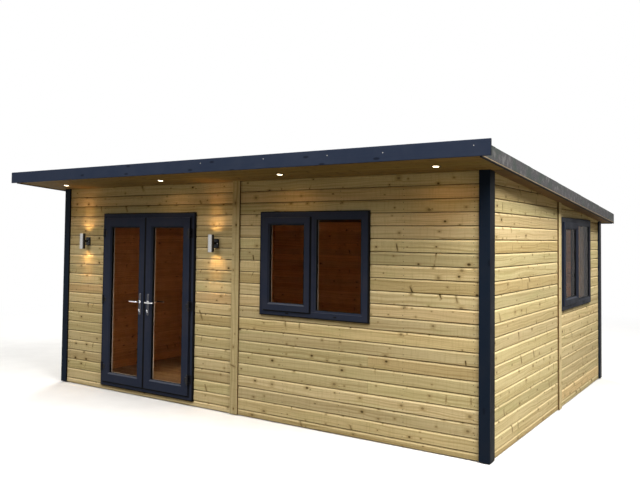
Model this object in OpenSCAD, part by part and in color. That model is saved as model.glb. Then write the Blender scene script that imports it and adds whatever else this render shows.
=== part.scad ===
// Garden office pod: timber building with a pent roof, French doors and two windows.
// Millimetres, +Z up, front towards -Y. The origin is the bottom centre of the whole building.

/* [Body] */
// Width over the corner trims
body_w = 5400; // [4500:10:6600]
// Depth over the corner trims
body_d = 4240; // [3500:10:5200]
// Height of the soffit at the face of the front wall
front_eaves_h = 2350; // [2200:5:2800]
// Height of the soffit at the face of the rear wall
rear_eaves_h = 2028; // [2000:5:2200]
// Gap between the ground and the lowest board
ground_gap = 8; // [4:1:20]

/* [Walls] */
// Thickness of the framed and lined wall panels
panel_t = 90; // [75:1:140]
// Thickness of the boards on the outside
clad_t = 20; // [14:1:28]
// Thickness of the corner trims and cover strips
trim_t = 20; // [15:1:28]
// Width of each corner trim board
trim_w = 95; // [70:1:120]
// Width of the cover strips over the panel joints
strip_w = 95; // [70:1:120]
// Front cover strip, distance from the door frame
strip_from_door = 520; // [450:5:700]
// Gap between the side cover strip and the side window
strip_from_window = 5; // [2:1:30]

/* [Floor] */
// Height of the bearers on the ground
bearer_h = 44; // [36:1:75]
// Width of one bearer
bearer_w = 44; // [36:1:75]
// Number of bearers, an odd number
bearer_count = 13; // [9:2:17]
// Thickness of the floor boards
deck_t = 18; // [15:1:28]

/* [Roof] */
// Overhang in front of the front corner trims
front_overhang = 590; // [350:5:750]
// Overhang behind the rear corner trims
rear_overhang = 110; // [60:5:250]
// Overhang outside the side corner trims
side_overhang = 138; // [60:1:250]
// Length of the front fascia past each side fascia
fascia_run_past = 73; // [20:1:120]
// Thickness of the fascia boards
fascia_t = 22; // [15:1:30]
// Height of the front fascia board
front_fascia_h = 124; // [110:1:180]
// Depth of the front and side fascias below the soffit
fascia_drop = 2; // [0:1:20]
// Depth of the rear fascia below the soffit
rear_fascia_drop = 12; // [0:1:60]
// Thickness of the framed roof panel with its soffit and deck
roof_t = 114; // [90:1:160]
// Thickness of the roofing felt
felt_t = 4; // [3:0.5:8]

/* [Door and window frames] */
// Depth of the plastic frames
frame_depth = 70; // [60:1:85]
// Distance that the frames stand out from the boards
frame_proud = 25; // [10:1:35]
// Clearance round the frames in the walls
frame_gap = 4; // [2:0.5:10]
// Thickness of the sealed glass units
glass_t = 28; // [20:1:36]
// Depth of glass held behind the profile
glass_cover = 12; // [8:1:15]
// Clearance at the edges of the glass units
glass_gap = 1; // [0.5:0.5:3]

/* [French doors] */
// Width of the door frame
door_w = 1435; // [1190:5:1800]
// Height of the door frame
door_h = 1970; // [1640:5:2030]
// Distance from the left corner to the door frame
door_from_left = 740; // [600:5:1000]
// Full face width of the door frame
door_frame_w = 65; // [55:1:80]
// Face width of the frame that shows round the leaves
leaf_show = 45; // [35:1:55]
// Distance that the leaves stand out from the frame
leaf_proud = 18; // [14:1:25]
// Clearance between each leaf and the frame
leaf_gap = 5; // [5:0.5:8]
// Depth of a door leaf
leaf_depth = 70; // [60:1:85]
// Face width of the stiles and rails of a leaf
leaf_stile = 105; // [95:1:130]
// Gap between the two leaves
meeting_gap = 6; // [6:0.5:10]
// Width of the lip along the meeting edge of a leaf
meeting_lip = 20; // [14:1:26]

/* [Door hardware] */
// Length of a hinge
hinge_len = 100; // [80:1:130]
// Radius of a hinge knuckle
hinge_r = 10; // [8:0.5:12]
// Radius of a hinge pin
hinge_pin_r = 4; // [3:0.5:5]
// Running clearance of pins and spindles
run_gap = 0.3; // [0.2:0.05:0.5]
// Distance of the end hinges from the ends of the frame
hinge_end = 215; // [150:5:300]
// Thickness of the hinge plates
hinge_plate_t = 4; // [3:0.5:6]
// Height of the levers above the bottom of the door frame
lever_h = 992; // [900:1:1100]
// Distance of the lever spindle from the meeting edge of the leaf
backset = 60; // [50:1:70]
// Length of a lever from its spindle
lever_len = 130; // [110:1:150]
// Radius of the lever bar and its neck
lever_r = 9; // [7:0.5:11]
// Distance from the handle plate to the lever bar
neck_len = 48; // [40:1:60]
// Width of a handle plate
plate_w = 34; // [26:1:44]
// Height of a handle plate
plate_h = 240; // [200:1:260]
// Thickness of a handle plate
plate_t = 9; // [6:0.5:12]

/* [Windows] */
// Width of the front window
front_window_w = 1210; // [900:5:1500]
// Width of the side window
side_window_w = 1370; // [1100:5:1650]
// Height of both windows
window_h = 990; // [820:5:1000]
// Height of both window frames above the ground
window_z = 1036; // [900:1:1040]
// Distance from the front cover strip to the front window
window_from_strip = 280; // [150:5:500]
// Distance from the side window to the rear corner
side_window_from_rear = 645; // [300:5:900]
// Face width of a window frame
window_frame_w = 55; // [48:1:65]
// Width of the glazing bead inside the frame
bead_w = 15; // [10:1:20]
// Face width of the upright between the two lights
mullion_w = 70; // [60:1:90]
// Face width of the frame that shows round the sash
sash_show = 45; // [35:1:50]
// Face width of the upright that the sash leaves open, measured from its middle
sash_from_middle = 11; // [5:1:20]
// Distance that the sash stands out from the frame
sash_proud = 18; // [12:1:24]
// Face width of the sash profile
sash_w = 72; // [60:1:85]
// Clearance between the sash and the frame
sash_gap = 4; // [2:0.5:8]

/* [Lights] */
// Radius of a wall light
lamp_r = 32; // [25:1:45]
// Length of a wall light
lamp_len = 182; // [140:1:240]
// Distance from the boards to the middle of a wall light
lamp_stand = 90; // [70:1:120]
// Height of the middle of the wall lights
lamp_h = 1716; // [1500:1:1850]
// Distance from the door frame to the middle of a wall light
lamp_from_door = 300; // [200:1:400]
// Radius of a downlight rim
downlight_r = 42; // [30:1:55]
// Distance between downlights
downlight_pitch = 1560; // [1200:5:1700]
// Distance of the downlights in front of the front corner trims
downlight_from_wall = 254; // [150:1:320]

/* [Hidden] */

// Through cuts reach this far past the faces that they cut
cut = 1;
smooth = 48;

// Planes of the body: corner trims, faces of the boards, faces of the panels, inner faces
side_x = body_w / 2;
front_y = (front_overhang - rear_overhang - body_d) / 2;
rear_y = front_y + body_d;
board_x = side_x - trim_t;
board_front_y = front_y + trim_t;
board_rear_y = rear_y - trim_t;
panel_x = board_x - clad_t;
panel_front_y = board_front_y + clad_t;
panel_rear_y = board_rear_y - clad_t;
room_x = panel_x - panel_t;
room_front_y = panel_front_y + panel_t;
room_rear_y = panel_rear_y - panel_t;
floor_z = bearer_h + deck_t;

// Roof planes
roof_fall = (front_eaves_h - rear_eaves_h) / body_d;
roof_angle = atan(roof_fall);
fascia_front_y = front_y - front_overhang;
fascia_rear_y = rear_y + rear_overhang;
fascia_x = side_x + side_overhang;
function soffit_z(y) = front_eaves_h - roof_fall * (y - front_y);

// Openings in the walls
frame_y = board_front_y - frame_proud;
frame_x = board_x + frame_proud;
door_x0 = -side_x + door_from_left;
door_x1 = door_x0 + door_w;
door_top = floor_z + door_h;
strip_x0 = door_x1 + strip_from_door;
front_window_x0 = strip_x0 + strip_w + window_from_strip;
side_window_y0 = rear_y - side_window_from_rear - side_window_w;
side_strip_y0 = side_window_y0 - strip_from_window - strip_w;

// Door leaf, measured from the lower left corner of the door frame at its face
leaf_edge = door_w / 2 - meeting_gap / 2;
leaf_top = door_h - leaf_show;
leaf_body_edge = leaf_edge - meeting_lip;
leaf_body_inset = door_frame_w + leaf_gap;
leaf_back = leaf_depth - leaf_proud;
sight_x0 = leaf_show + leaf_stile;
sight_x1 = leaf_edge - leaf_stile;
sight_z0 = leaf_show + leaf_stile;
sight_z1 = leaf_top - leaf_stile;

// Hinges and handles
hinge_edge = 4;
hinge_stand = 1;
hinge_x = leaf_show - hinge_edge;
hinge_y = -leaf_proud - hinge_stand - hinge_r;
hinge_end_len = hinge_len / 4;
hinge_play = 0.5;
hinge_web_t = 6;
hinge_margin = 4;
hinge_leaf_plate_w = 40;
hinge_heights = [hinge_end, door_h / 2, door_h - hinge_end];
spindle_r = 4;
spindle_hole_r = 10;
spindle_x = leaf_edge - backset;
plate_drop = 146;
lock_drop = 92;
lock_r = 8.5;
lock_out = 4;

// Window sash, measured like the door leaf
glass_y = 12;

// Lamps
lamp_recess = 8;
lamp_rim = 4;
lamp_base_w = 64;
lamp_base_h = 92;
lamp_base_t = 18;
lamp_arm_r = 13;
downlight_t = 4;
downlight_rim = 12;
downlight_recess = 2;
downlight_count = 4;

// A block from one corner to the opposite one
module block(from, to) {
    translate(from) cube(to - from);
}

// A block that stands at z0 and is cut off by the underside of the roof
module under_roof(x0, x1, y0, y1, z0) {
    translate([x0, 0, 0]) rotate([90, 0, 90]) linear_extrude(x1 - x0)
        polygon([[y0, z0], [y1, z0], [y1, soffit_z(y1)], [y0, soffit_z(y0)]]);
}

// A slab of the roof between two heights above the soffit
module roof_slab(x0, x1, y0, y1, low, high) {
    translate([x0, 0, 0]) rotate([90, 0, 90]) linear_extrude(x1 - x0)
        polygon([[y0, soffit_z(y0) + low], [y1, soffit_z(y1) + low],
                 [y1, soffit_z(y1) + high], [y0, soffit_z(y0) + high]]);
}

// The space that a frame takes in a wall: it stands on the sill, with clearance beside and above
module frame_space(w, h) {
    block([-frame_gap, -frame_depth, 0], [w + frame_gap, 2 * frame_depth + panel_t, h + frame_gap]);
}

module place_door() {
    translate([door_x0, frame_y, floor_z]) children();
}

module place_right_leaf() {
    translate([door_x1, frame_y, floor_z]) mirror([1, 0, 0]) children();
}

module place_front_window() {
    translate([front_window_x0, frame_y, window_z]) children();
}

module place_side_window() {
    translate([frame_x, side_window_y0, window_z]) rotate([0, 0, 90]) children();
}

module floor_bearers() {
    pitch = (2 * panel_x - bearer_w) / (bearer_count - 1);
    color("peru") for (i = [0 : bearer_count - 1]) {
        x0 = -panel_x + i * pitch;
        block([x0, panel_front_y, 0], [x0 + bearer_w, panel_rear_y, bearer_h]);
    }
}

module floor_deck() {
    color("tan") block([-panel_x, panel_front_y, bearer_h], [panel_x, panel_rear_y, floor_z]);
}

module front_wall_left() {
    color("wheat") under_roof(-panel_x, door_x0 - frame_gap, panel_front_y, room_front_y, floor_z);
}

module front_wall_over_door() {
    color("wheat")
        under_roof(door_x0 - frame_gap, door_x1 + frame_gap, panel_front_y, room_front_y, door_top + frame_gap);
}

module front_wall_right() {
    color("wheat") difference() {
        under_roof(door_x1 + frame_gap, panel_x, panel_front_y, room_front_y, floor_z);
        place_front_window() frame_space(front_window_w, window_h);
    }
}

module left_wall() {
    color("wheat") under_roof(-panel_x, -room_x, room_front_y, room_rear_y, floor_z);
}

module right_wall() {
    color("wheat") difference() {
        under_roof(room_x, panel_x, room_front_y, room_rear_y, floor_z);
        place_side_window() frame_space(side_window_w, window_h);
    }
}

module rear_wall() {
    color("wheat") under_roof(-panel_x, panel_x, room_rear_y, panel_rear_y, floor_z);
}

module front_cladding_left() {
    color("burlywood")
        under_roof(-board_x, door_x0 - frame_gap, board_front_y, panel_front_y, ground_gap);
}

module front_cladding_over_door() {
    color("burlywood")
        under_roof(door_x0 - frame_gap, door_x1 + frame_gap, board_front_y, panel_front_y, door_top + frame_gap);
}

module front_cladding_right() {
    color("burlywood") difference() {
        under_roof(door_x1 + frame_gap, board_x, board_front_y, panel_front_y, ground_gap);
        place_front_window() frame_space(front_window_w, window_h);
    }
}

module door_sill_board() {
    color("burlywood")
        block([door_x0 - frame_gap, board_front_y, ground_gap], [door_x1 + frame_gap, panel_front_y, floor_z]);
}

module left_cladding() {
    color("burlywood") under_roof(-board_x, -panel_x, panel_front_y, panel_rear_y, ground_gap);
}

module right_cladding() {
    color("burlywood") difference() {
        under_roof(panel_x, board_x, panel_front_y, panel_rear_y, ground_gap);
        place_side_window() frame_space(side_window_w, window_h);
    }
}

module rear_cladding() {
    color("burlywood") under_roof(-board_x, board_x, panel_rear_y, board_rear_y, ground_gap);
}

// Two boards meet at each corner: one lies on the front or rear, the other on the side behind it
module corner_trims() {
    front_back_edge = board_front_y + trim_w;
    rear_back_edge = board_rear_y - trim_w;
    color("darkslategray") for (side = [0, 1]) mirror([side, 0, 0]) {
        under_roof(side_x - trim_w, side_x, front_y, board_front_y, ground_gap);
        under_roof(board_x, side_x, board_front_y, front_back_edge, ground_gap);
        under_roof(side_x - trim_w, side_x, board_rear_y, rear_y, ground_gap);
        under_roof(board_x, side_x, rear_back_edge, board_rear_y, ground_gap);
    }
}

module cover_strips() {
    color("burlywood") {
        under_roof(strip_x0, strip_x0 + strip_w, front_y, board_front_y, ground_gap);
        under_roof(strip_x0, strip_x0 + strip_w, board_rear_y, rear_y, ground_gap);
        under_roof(board_x, side_x, side_strip_y0, side_strip_y0 + strip_w, ground_gap);
        under_roof(-side_x, -board_x, side_strip_y0, side_strip_y0 + strip_w, ground_gap);
    }
}

module roof_panel() {
    color("darkkhaki")
        roof_slab(-fascia_x + fascia_t, fascia_x - fascia_t, fascia_front_y + fascia_t, fascia_rear_y - fascia_t,
                  0, roof_t);
}

module roof_felt() {
    color("dimgray")
        roof_slab(-fascia_x, fascia_x, fascia_front_y + fascia_t, fascia_rear_y, roof_t, roof_t + felt_t);
}

module front_fascia() {
    low = soffit_z(fascia_front_y + fascia_t) - fascia_drop;
    half = fascia_x + fascia_run_past;
    color("slategray") block([-half, fascia_front_y, low], [half, fascia_front_y + fascia_t, low + front_fascia_h]);
}

module rear_fascia() {
    color("slategray")
        roof_slab(-fascia_x + fascia_t, fascia_x - fascia_t, fascia_rear_y - fascia_t, fascia_rear_y,
                  -rear_fascia_drop, roof_t);
}

module side_fascia(x0) {
    color("gray") roof_slab(x0, x0 + fascia_t, fascia_front_y + fascia_t, fascia_rear_y, -fascia_drop, roof_t);
}

module left_fascia() {
    side_fascia(-fascia_x);
}

module right_fascia() {
    side_fascia(fascia_x - fascia_t);
}

module downlights() {
    y = front_y - downlight_from_wall;
    color("silver") for (i = [0 : downlight_count - 1]) {
        x = (i - (downlight_count - 1) / 2) * downlight_pitch;
        translate([x, y, soffit_z(y)]) rotate([-roof_angle, 0, 0]) difference() {
            translate([0, 0, -downlight_t]) cylinder(r = downlight_r, h = downlight_t, $fn = smooth);
            translate([0, 0, -downlight_t - cut])
                cylinder(r = downlight_r - downlight_rim, h = downlight_recess + cut, $fn = smooth);
        }
    }
}

// Tube that shines up and down, on an arm from a base on the boards
module wall_light() {
    color("silver") difference() {
        union() {
            translate([0, -lamp_stand, -lamp_len / 2]) cylinder(r = lamp_r, h = lamp_len, $fn = smooth);
            block([-lamp_base_w / 2, -lamp_base_t, -lamp_base_h / 2], [lamp_base_w / 2, 0, lamp_base_h / 2]);
            rotate([90, 0, 0]) cylinder(r = lamp_arm_r, h = lamp_stand, $fn = smooth);
        }
        for (end = [0, 1]) mirror([0, 0, end])
            translate([0, -lamp_stand, lamp_len / 2 - lamp_recess])
                cylinder(r = lamp_r - lamp_rim, h = lamp_recess + cut, $fn = smooth);
    }
}

module wall_light_left() {
    translate([door_x0 - lamp_from_door, board_front_y, lamp_h]) wall_light();
}

module wall_light_right() {
    translate([door_x1 + lamp_from_door, board_front_y, lamp_h]) wall_light();
}

module door_frame() {
    color("darkslategray") place_door() difference() {
        block([0, 0, 0], [door_w, frame_depth, door_h]);
        block([door_frame_w, -cut, door_frame_w],
              [door_w - door_frame_w, frame_depth + cut, door_h - door_frame_w]);
    }
}

// Fixed half of a hinge: plate on the frame, web, two knuckles and the pin
module hinge_fixed() {
    web_x = hinge_x - hinge_r;
    union() {
        block([hinge_margin, -hinge_plate_t, 0], [web_x + hinge_web_t, 0, hinge_len]);
        for (z = [0, hinge_len - hinge_end_len]) {
            block([web_x, hinge_y, z], [web_x + hinge_web_t, 0, z + hinge_end_len]);
            translate([hinge_x, hinge_y, z]) cylinder(r = hinge_r, h = hinge_end_len, $fn = smooth);
        }
        translate([hinge_x, hinge_y, 0]) cylinder(r = hinge_pin_r, h = hinge_len, $fn = smooth);
    }
}

// Moving half of a hinge: plate on the leaf and the middle knuckle
module hinge_moving() {
    low = hinge_end_len + hinge_play;
    high = hinge_len - hinge_end_len - hinge_play;
    difference() {
        union() {
            translate([hinge_x, hinge_y, low]) cylinder(r = hinge_r, h = high - low, $fn = smooth);
            block([hinge_x, -leaf_proud - hinge_plate_t, low],
                  [leaf_show + hinge_leaf_plate_w, -leaf_proud, high]);
        }
        translate([hinge_x, hinge_y, low - cut])
            cylinder(r = hinge_pin_r + run_gap, h = high - low + 2 * cut, $fn = smooth);
    }
}

module door_hinges_frame() {
    color("black") {
        place_door() for (z = hinge_heights) translate([0, 0, z - hinge_len / 2]) hinge_fixed();
        place_right_leaf() for (z = hinge_heights) translate([0, 0, z - hinge_len / 2]) hinge_fixed();
    }
}

module leaf_hinges() {
    color("black") for (z = hinge_heights) translate([0, 0, z - hinge_len / 2]) hinge_moving();
}

// A leaf has a flange over the frame and a body inside it, with a groove for the glass
module leaf() {
    color("darkslategray") difference() {
        union() {
            block([leaf_show, -leaf_proud, leaf_show], [leaf_edge, -leaf_gap, leaf_top]);
            block([leaf_body_inset, -leaf_proud, leaf_body_inset],
                  [leaf_body_edge, leaf_back, door_h - leaf_body_inset]);
        }
        block([sight_x0, -leaf_proud - cut, sight_z0], [sight_x1, leaf_back + cut, sight_z1]);
        block([sight_x0 - glass_cover, 0, sight_z0 - glass_cover],
              [sight_x1 + glass_cover, glass_t, sight_z1 + glass_cover]);
        translate([spindle_x, -leaf_proud - cut, lever_h]) rotate([-90, 0, 0])
            cylinder(r = spindle_hole_r, h = leaf_depth + 2 * cut, $fn = smooth);
    }
}

module leaf_glass() {
    edge = glass_cover - glass_gap;
    color("lightsteelblue", 0.5)
        block([sight_x0 - edge, 0, sight_z0 - edge], [sight_x1 + edge, glass_t, sight_z1 + edge]);
}

// One plate with its lock cylinder and the hole for the neck, standing out along -Y
module handle_plate() {
    difference() {
        union() {
            block([-plate_w / 2, -plate_t, -plate_drop], [plate_w / 2, 0, plate_h - plate_drop]);
            translate([0, 0, -lock_drop]) rotate([90, 0, 0])
                cylinder(r = lock_r, h = plate_t + lock_out, $fn = smooth);
        }
        translate([0, cut, 0]) rotate([90, 0, 0])
            cylinder(r = lever_r + run_gap, h = plate_t + 2 * cut, $fn = smooth);
    }
}

module leaf_plates() {
    color("silver") {
        translate([spindle_x, -leaf_proud, lever_h]) handle_plate();
        translate([spindle_x, leaf_back, lever_h]) mirror([0, 1, 0]) handle_plate();
    }
}

// Neck and bar of one lever, standing out along -Y and pointing away from the meeting edge
module lever_arm() {
    reach = plate_t + neck_len;
    translate([0, -run_gap, 0]) rotate([90, 0, 0]) cylinder(r = lever_r, h = reach - run_gap, $fn = smooth);
    translate([0, -reach, 0]) sphere(r = lever_r, $fn = smooth);
    translate([0, -reach, 0]) rotate([0, -90, 0]) cylinder(r = lever_r, h = lever_len - lever_r, $fn = smooth);
    translate([lever_r - lever_len, -reach, 0]) sphere(r = lever_r, $fn = smooth);
}

module leaf_lever() {
    color("silver") union() {
        translate([spindle_x, -leaf_proud, lever_h]) lever_arm();
        translate([spindle_x, leaf_back, lever_h]) mirror([0, 1, 0]) lever_arm();
        translate([spindle_x, -leaf_proud - plate_t, lever_h]) rotate([-90, 0, 0])
            cylinder(r = spindle_r, h = leaf_depth + 2 * plate_t, $fn = smooth);
    }
}

module door_leaf_left() {
    place_door() leaf();
}

module door_glass_left() {
    place_door() leaf_glass();
}

module door_hinges_left() {
    place_door() leaf_hinges();
}

module door_plates_left() {
    place_door() leaf_plates();
}

module door_lever_left() {
    place_door() leaf_lever();
}

module door_leaf_right() {
    place_right_leaf() leaf();
}

module door_glass_right() {
    place_right_leaf() leaf_glass();
}

module door_hinges_right() {
    place_right_leaf() leaf_hinges();
}

module door_plates_right() {
    place_right_leaf() leaf_plates();
}

module door_lever_right() {
    place_right_leaf() leaf_lever();
}

// Frame with an upright in the middle: the left light takes the sash, the right one fixed glass
module window_frame(w, h) {
    upright_x0 = (w - mullion_w) / 2;
    upright_x1 = upright_x0 + mullion_w;
    fixed_in = window_frame_w + bead_w;
    color("darkslategray") difference() {
        block([0, 0, 0], [w, frame_depth, h]);
        block([window_frame_w, -cut, window_frame_w], [upright_x0, frame_depth + cut, h - window_frame_w]);
        block([upright_x1 + bead_w, -cut, fixed_in], [w - fixed_in, frame_depth + cut, h - fixed_in]);
        block([upright_x1 + bead_w - glass_cover, glass_y, fixed_in - glass_cover],
              [w - fixed_in + glass_cover, glass_y + glass_t, h - fixed_in + glass_cover]);
    }
}

// The sash lies on the face of the frame, with its body inside the left light
module window_sash(w, h) {
    flange_x1 = w / 2 - sash_from_middle;
    body_in = window_frame_w + sash_gap;
    body_x1 = (w - mullion_w) / 2 - sash_gap;
    sight_in = sash_show + sash_w;
    sash_back = frame_depth - sash_proud;
    color("darkslategray") difference() {
        union() {
            block([sash_show, -sash_proud, sash_show], [flange_x1, 0, h - sash_show]);
            block([body_in, -sash_proud, body_in], [body_x1, sash_back, h - body_in]);
        }
        block([sight_in, -sash_proud - cut, sight_in], [flange_x1 - sash_w, sash_back + cut, h - sight_in]);
        block([sight_in - glass_cover, 0, sight_in - glass_cover],
              [flange_x1 - sash_w + glass_cover, glass_t, h - sight_in + glass_cover]);
    }
}

// The sash pane and the fixed pane
module window_glass(w, h) {
    edge = glass_cover - glass_gap;
    sight_in = sash_show + sash_w;
    sash_x1 = w / 2 - sash_from_middle - sash_w;
    fixed_in = window_frame_w + bead_w;
    fixed_x0 = (w + mullion_w) / 2 + bead_w;
    color("lightsteelblue", 0.5) {
        block([sight_in - edge, 0, sight_in - edge], [sash_x1 + edge, glass_t, h - sight_in + edge]);
        block([fixed_x0 - edge, glass_y, fixed_in - edge],
              [w - fixed_in + edge, glass_y + glass_t, h - fixed_in + edge]);
    }
}

module front_window_frame() {
    place_front_window() window_frame(front_window_w, window_h);
}

module front_window_sash() {
    place_front_window() window_sash(front_window_w, window_h);
}

module front_window_glass() {
    place_front_window() window_glass(front_window_w, window_h);
}

module side_window_frame() {
    place_side_window() window_frame(side_window_w, window_h);
}

module side_window_sash() {
    place_side_window() window_sash(side_window_w, window_h);
}

module side_window_glass() {
    place_side_window() window_glass(side_window_w, window_h);
}

floor_bearers();
floor_deck();
front_wall_left();
front_wall_over_door();
front_wall_right();
left_wall();
right_wall();
rear_wall();
front_cladding_left();
front_cladding_over_door();
front_cladding_right();
door_sill_board();
left_cladding();
right_cladding();
rear_cladding();
corner_trims();
cover_strips();
roof_panel();
roof_felt();
front_fascia();
rear_fascia();
left_fascia();
right_fascia();
downlights();
wall_light_left();
wall_light_right();
door_frame();
door_hinges_frame();
door_leaf_left();
door_glass_left();
door_hinges_left();
door_plates_left();
door_lever_left();
door_leaf_right();
door_glass_right();
door_hinges_right();
door_plates_right();
door_lever_right();
front_window_frame();
front_window_sash();
front_window_glass();
side_window_frame();
side_window_sash();
side_window_glass();
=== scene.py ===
import math
import random

import bmesh
import bpy
from mathutils import Matrix, Vector


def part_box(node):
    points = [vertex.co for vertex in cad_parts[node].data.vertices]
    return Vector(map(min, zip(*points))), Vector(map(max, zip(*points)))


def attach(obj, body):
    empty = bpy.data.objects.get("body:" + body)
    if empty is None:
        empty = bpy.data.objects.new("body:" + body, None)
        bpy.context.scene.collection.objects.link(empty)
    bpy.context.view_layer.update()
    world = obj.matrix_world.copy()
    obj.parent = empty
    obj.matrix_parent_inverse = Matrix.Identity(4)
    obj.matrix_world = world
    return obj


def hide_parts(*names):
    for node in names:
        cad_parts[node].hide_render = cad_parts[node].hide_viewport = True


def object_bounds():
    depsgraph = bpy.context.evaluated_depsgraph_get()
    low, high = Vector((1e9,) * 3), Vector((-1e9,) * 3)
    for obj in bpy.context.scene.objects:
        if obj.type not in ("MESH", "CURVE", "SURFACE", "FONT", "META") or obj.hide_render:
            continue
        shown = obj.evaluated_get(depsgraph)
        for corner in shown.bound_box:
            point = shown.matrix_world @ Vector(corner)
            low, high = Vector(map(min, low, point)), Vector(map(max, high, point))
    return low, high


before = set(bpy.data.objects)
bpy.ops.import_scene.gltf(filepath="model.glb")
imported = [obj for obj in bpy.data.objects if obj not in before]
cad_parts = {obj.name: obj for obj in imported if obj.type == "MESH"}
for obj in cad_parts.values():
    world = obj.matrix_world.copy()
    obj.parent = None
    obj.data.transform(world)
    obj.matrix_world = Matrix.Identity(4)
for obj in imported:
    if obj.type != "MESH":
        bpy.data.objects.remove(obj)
cad_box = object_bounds()

# Garden office pod. Metres, +Z up, front towards -Y, as in the frame.
random.seed(7)

# Cladding: the boards' cover, the height of one joint, and the shape of a board
BOARD_PITCH = 0.1146
BOARD_JOINT_Z = 0.0674
BOARD_T = 0.020
BOARD_ARRIS = 0.0012
LAP = 0.008
LAP_T = 0.0135
LAP_PLAY = 0.0006
REBATE_DEPTH = (0.0095, 0.0135)
SHOULDER = ((0.0141, 0.0), (0.0095, 0.0065), (0.0052, 0.0115), (0.0021, 0.0170), (0.0, 0.0225))
BUTT_GAP = 0.0008
BUTT_JOINTS = {("front", 3): 1.575, ("front", 5): 1.575}
BUTT_TONE = 0.37

# Boards with a tongue, a groove and V joints: lining, soffit and floor
LINING_T = 0.012
LINING_PITCH = 0.096
SOFFIT_T = 0.016
SOFFIT_PITCH = 0.120
SOFFIT_JOINTS = (1.2, -0.9, 1.9, -0.2)
FLOOR_PITCH = 0.125
FLOOR_JOINTS = (-1.3, 0.9, -0.2, 1.7)
VEE = 0.0035
BEARERS = 13

# Nails
STUD_PITCH = 0.600
STUD_INSET = 0.025
NAIL_R = 0.0036
NAIL_STEPS = 8
NAIL_SHARES = (0.24, 0.72)
NAIL_SCATTER = (0.006, 0.004)
NAIL_CLEAR = 0.01

# Trims
TRIM_W = 0.095
TRIM_T = 0.020
TRIM_ARRIS = 0.002
STRIP_FROM_DOOR = 0.520
STRIP_FROM_WINDOW = 0.005

# Roof: its build-up, the felt strips and their nails, and the fascias
ROOF_T = 0.114
FELT_SHEET = 0.002
FELT_WIDTH = 1.0
FELT_LAP = 0.075
FELT_STEPS = 48
FELT_WAVES = ((0.0035, 2.1, 1.9), (0.0015, 7.3, 1.0))
FELT_NAIL_PITCH = 0.15
FELT_NAIL_UP = 0.03
FELT_NAIL_R = 0.005
FELT_EDGE = 0.009
FELT_SKIN = 0.003
SIDE_FASCIA_DROP = 0.002
BATTEN_LOW = 0.002
DRIP_LOW = 0.009
DRIP_INSET = 0.006
SHADE_STRIP_T = 0.0018
STRIP_PLAY = 0.002
FASCIA_ARRIS = 0.0025
FASCIA_NAILS = (-2.80, -2.12, -1.44, -0.76, 0.10, 0.851, 1.518, 2.046, 2.778)
FASCIA_NAIL_R = 0.004
FASCIA_NAIL_DOWN = 0.048
FASCIA_NAIL_UP = 0.034
FASCIA_SCATTER = (0.010, 0.012)
FASCIA_TONES = {"front": 0.37, "rear": 0.61, "left": 0.2, "right": 0.8}

# Plastic frames, their glass and their seals
FRAME_GAP = 0.004
ARRIS = 0.003
PLASTIC_BEVEL = 0.0006
GLAZING_CHAMFER = 0.016
GLAZING_LIP = 0.004
GLAZING_POCKET = 0.012
GASKET_W = 0.006
GASKET_BED = 0.002
PANE_T = 0.004
GLASS_T = 0.028
GLASS_COVER = 0.011
SPACER_COVER = 0.004
SPACER_SHOW = 0.001
TAPE_COVER = 0.003
TAPE_T = 0.009
PANE_PLAY = 0.0005
SEAL_W = 0.012
SEAL_H = 0.010
SEAL_EDGE = 0.009
SEAL_TOP = 0.0035
SEAL_BED = 0.0015
STRIP_W = 0.010
STRIP_T = 0.0025
STRIP_BED = 0.0005
STRIP_BEVEL = 0.0008

# Windows: the outer frame, the upright, the sash in the left light and the fixed glass
FRAME_DEPTH = 0.070
WINDOW_FACE = 0.055
BEAD = 0.015
BEAD_FRONT = 0.001
BEAD_T = 0.006
BEAD_BACK = 0.004
MULLION = 0.070
SASH_SHOW = 0.045
SASH_FROM_MIDDLE = 0.011
SASH_PROUD = 0.018
SASH_FACE = 0.072
SASH_PLAY = 0.004
SASH_SEAT = 0.0005
SASH_SEAL = ((-0.003, 0.0005), (-0.003, -0.003), (0.001, -0.004), (0.004, 0.0005))
FIXED_GLASS_Y = 0.012
DRAIN_SHARES = (0.27, 0.72)
DRAIN_CAP = (-0.016, -0.002, 0.016), (0.016, 0.001, 0.029)
DRAIN_BEVEL = 0.001

# Doors. A turned part is given by its (radius, height) points and its number of sides
DOOR_FACE = 0.065
LEAF_SHOW = 0.045
LEAF_GAP = 0.005
LEAF_PROUD = 0.018
LEAF_BACK = 0.052
LEAF_STILE = 0.105
LEAF_SEAL = ((0.008, -0.005), (0.014, -0.005), (0.013, -0.0015), (0.009, -0.0015))
MEETING_GAP = 0.006
MEETING_LIP = 0.020
MEETING_STRIP = (-0.019, -0.012)
HINGE_LEN = 0.100
HINGE_R = 0.010
HINGE_END = 0.215
HINGE_PLAY = 0.0005
HINGE_AXIS = (LEAF_SHOW - 0.004, -LEAF_PROUD - 0.001 - HINGE_R)
HINGE_EDGE = 0.004
HINGE_ARRIS = 0.001
HINGE_WEB_ARRIS = 0.0006
HINGE_SIDES = 24
HINGE_CAP = ((0, 0), (0.0055, 0.0005), (0.007, 0.002), (0.007, 0.0045), (0, 0.0045)), 20
HINGE_CAPS_AT = (-0.004, HINGE_LEN - 0.0005)
HINGE_PLATE_T = 0.004
HINGE_WEB = 0.006
HINGE_REACH = 0.040
KNUCKLE_ARRIS = 0.0012
LEVER_H = 0.992
BACKSET = 0.060
LEVER_LEN = 0.130
LEVER_R = 0.009
LEVER_BEND = 0.014
LEVER_HOOK = 0.008
LEVER_LEAN = 0.003
LEVER_BACK = 0.010
LEVER_START = 0.0003
LEVER_ROOT = 0.006
LEVER_STEPS = (6, 8, 5)
LEVER_TAPER = (0.90, 0.96, 0.80, 0.58)
NECK = 0.048
PLATE_W = 0.034
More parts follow.
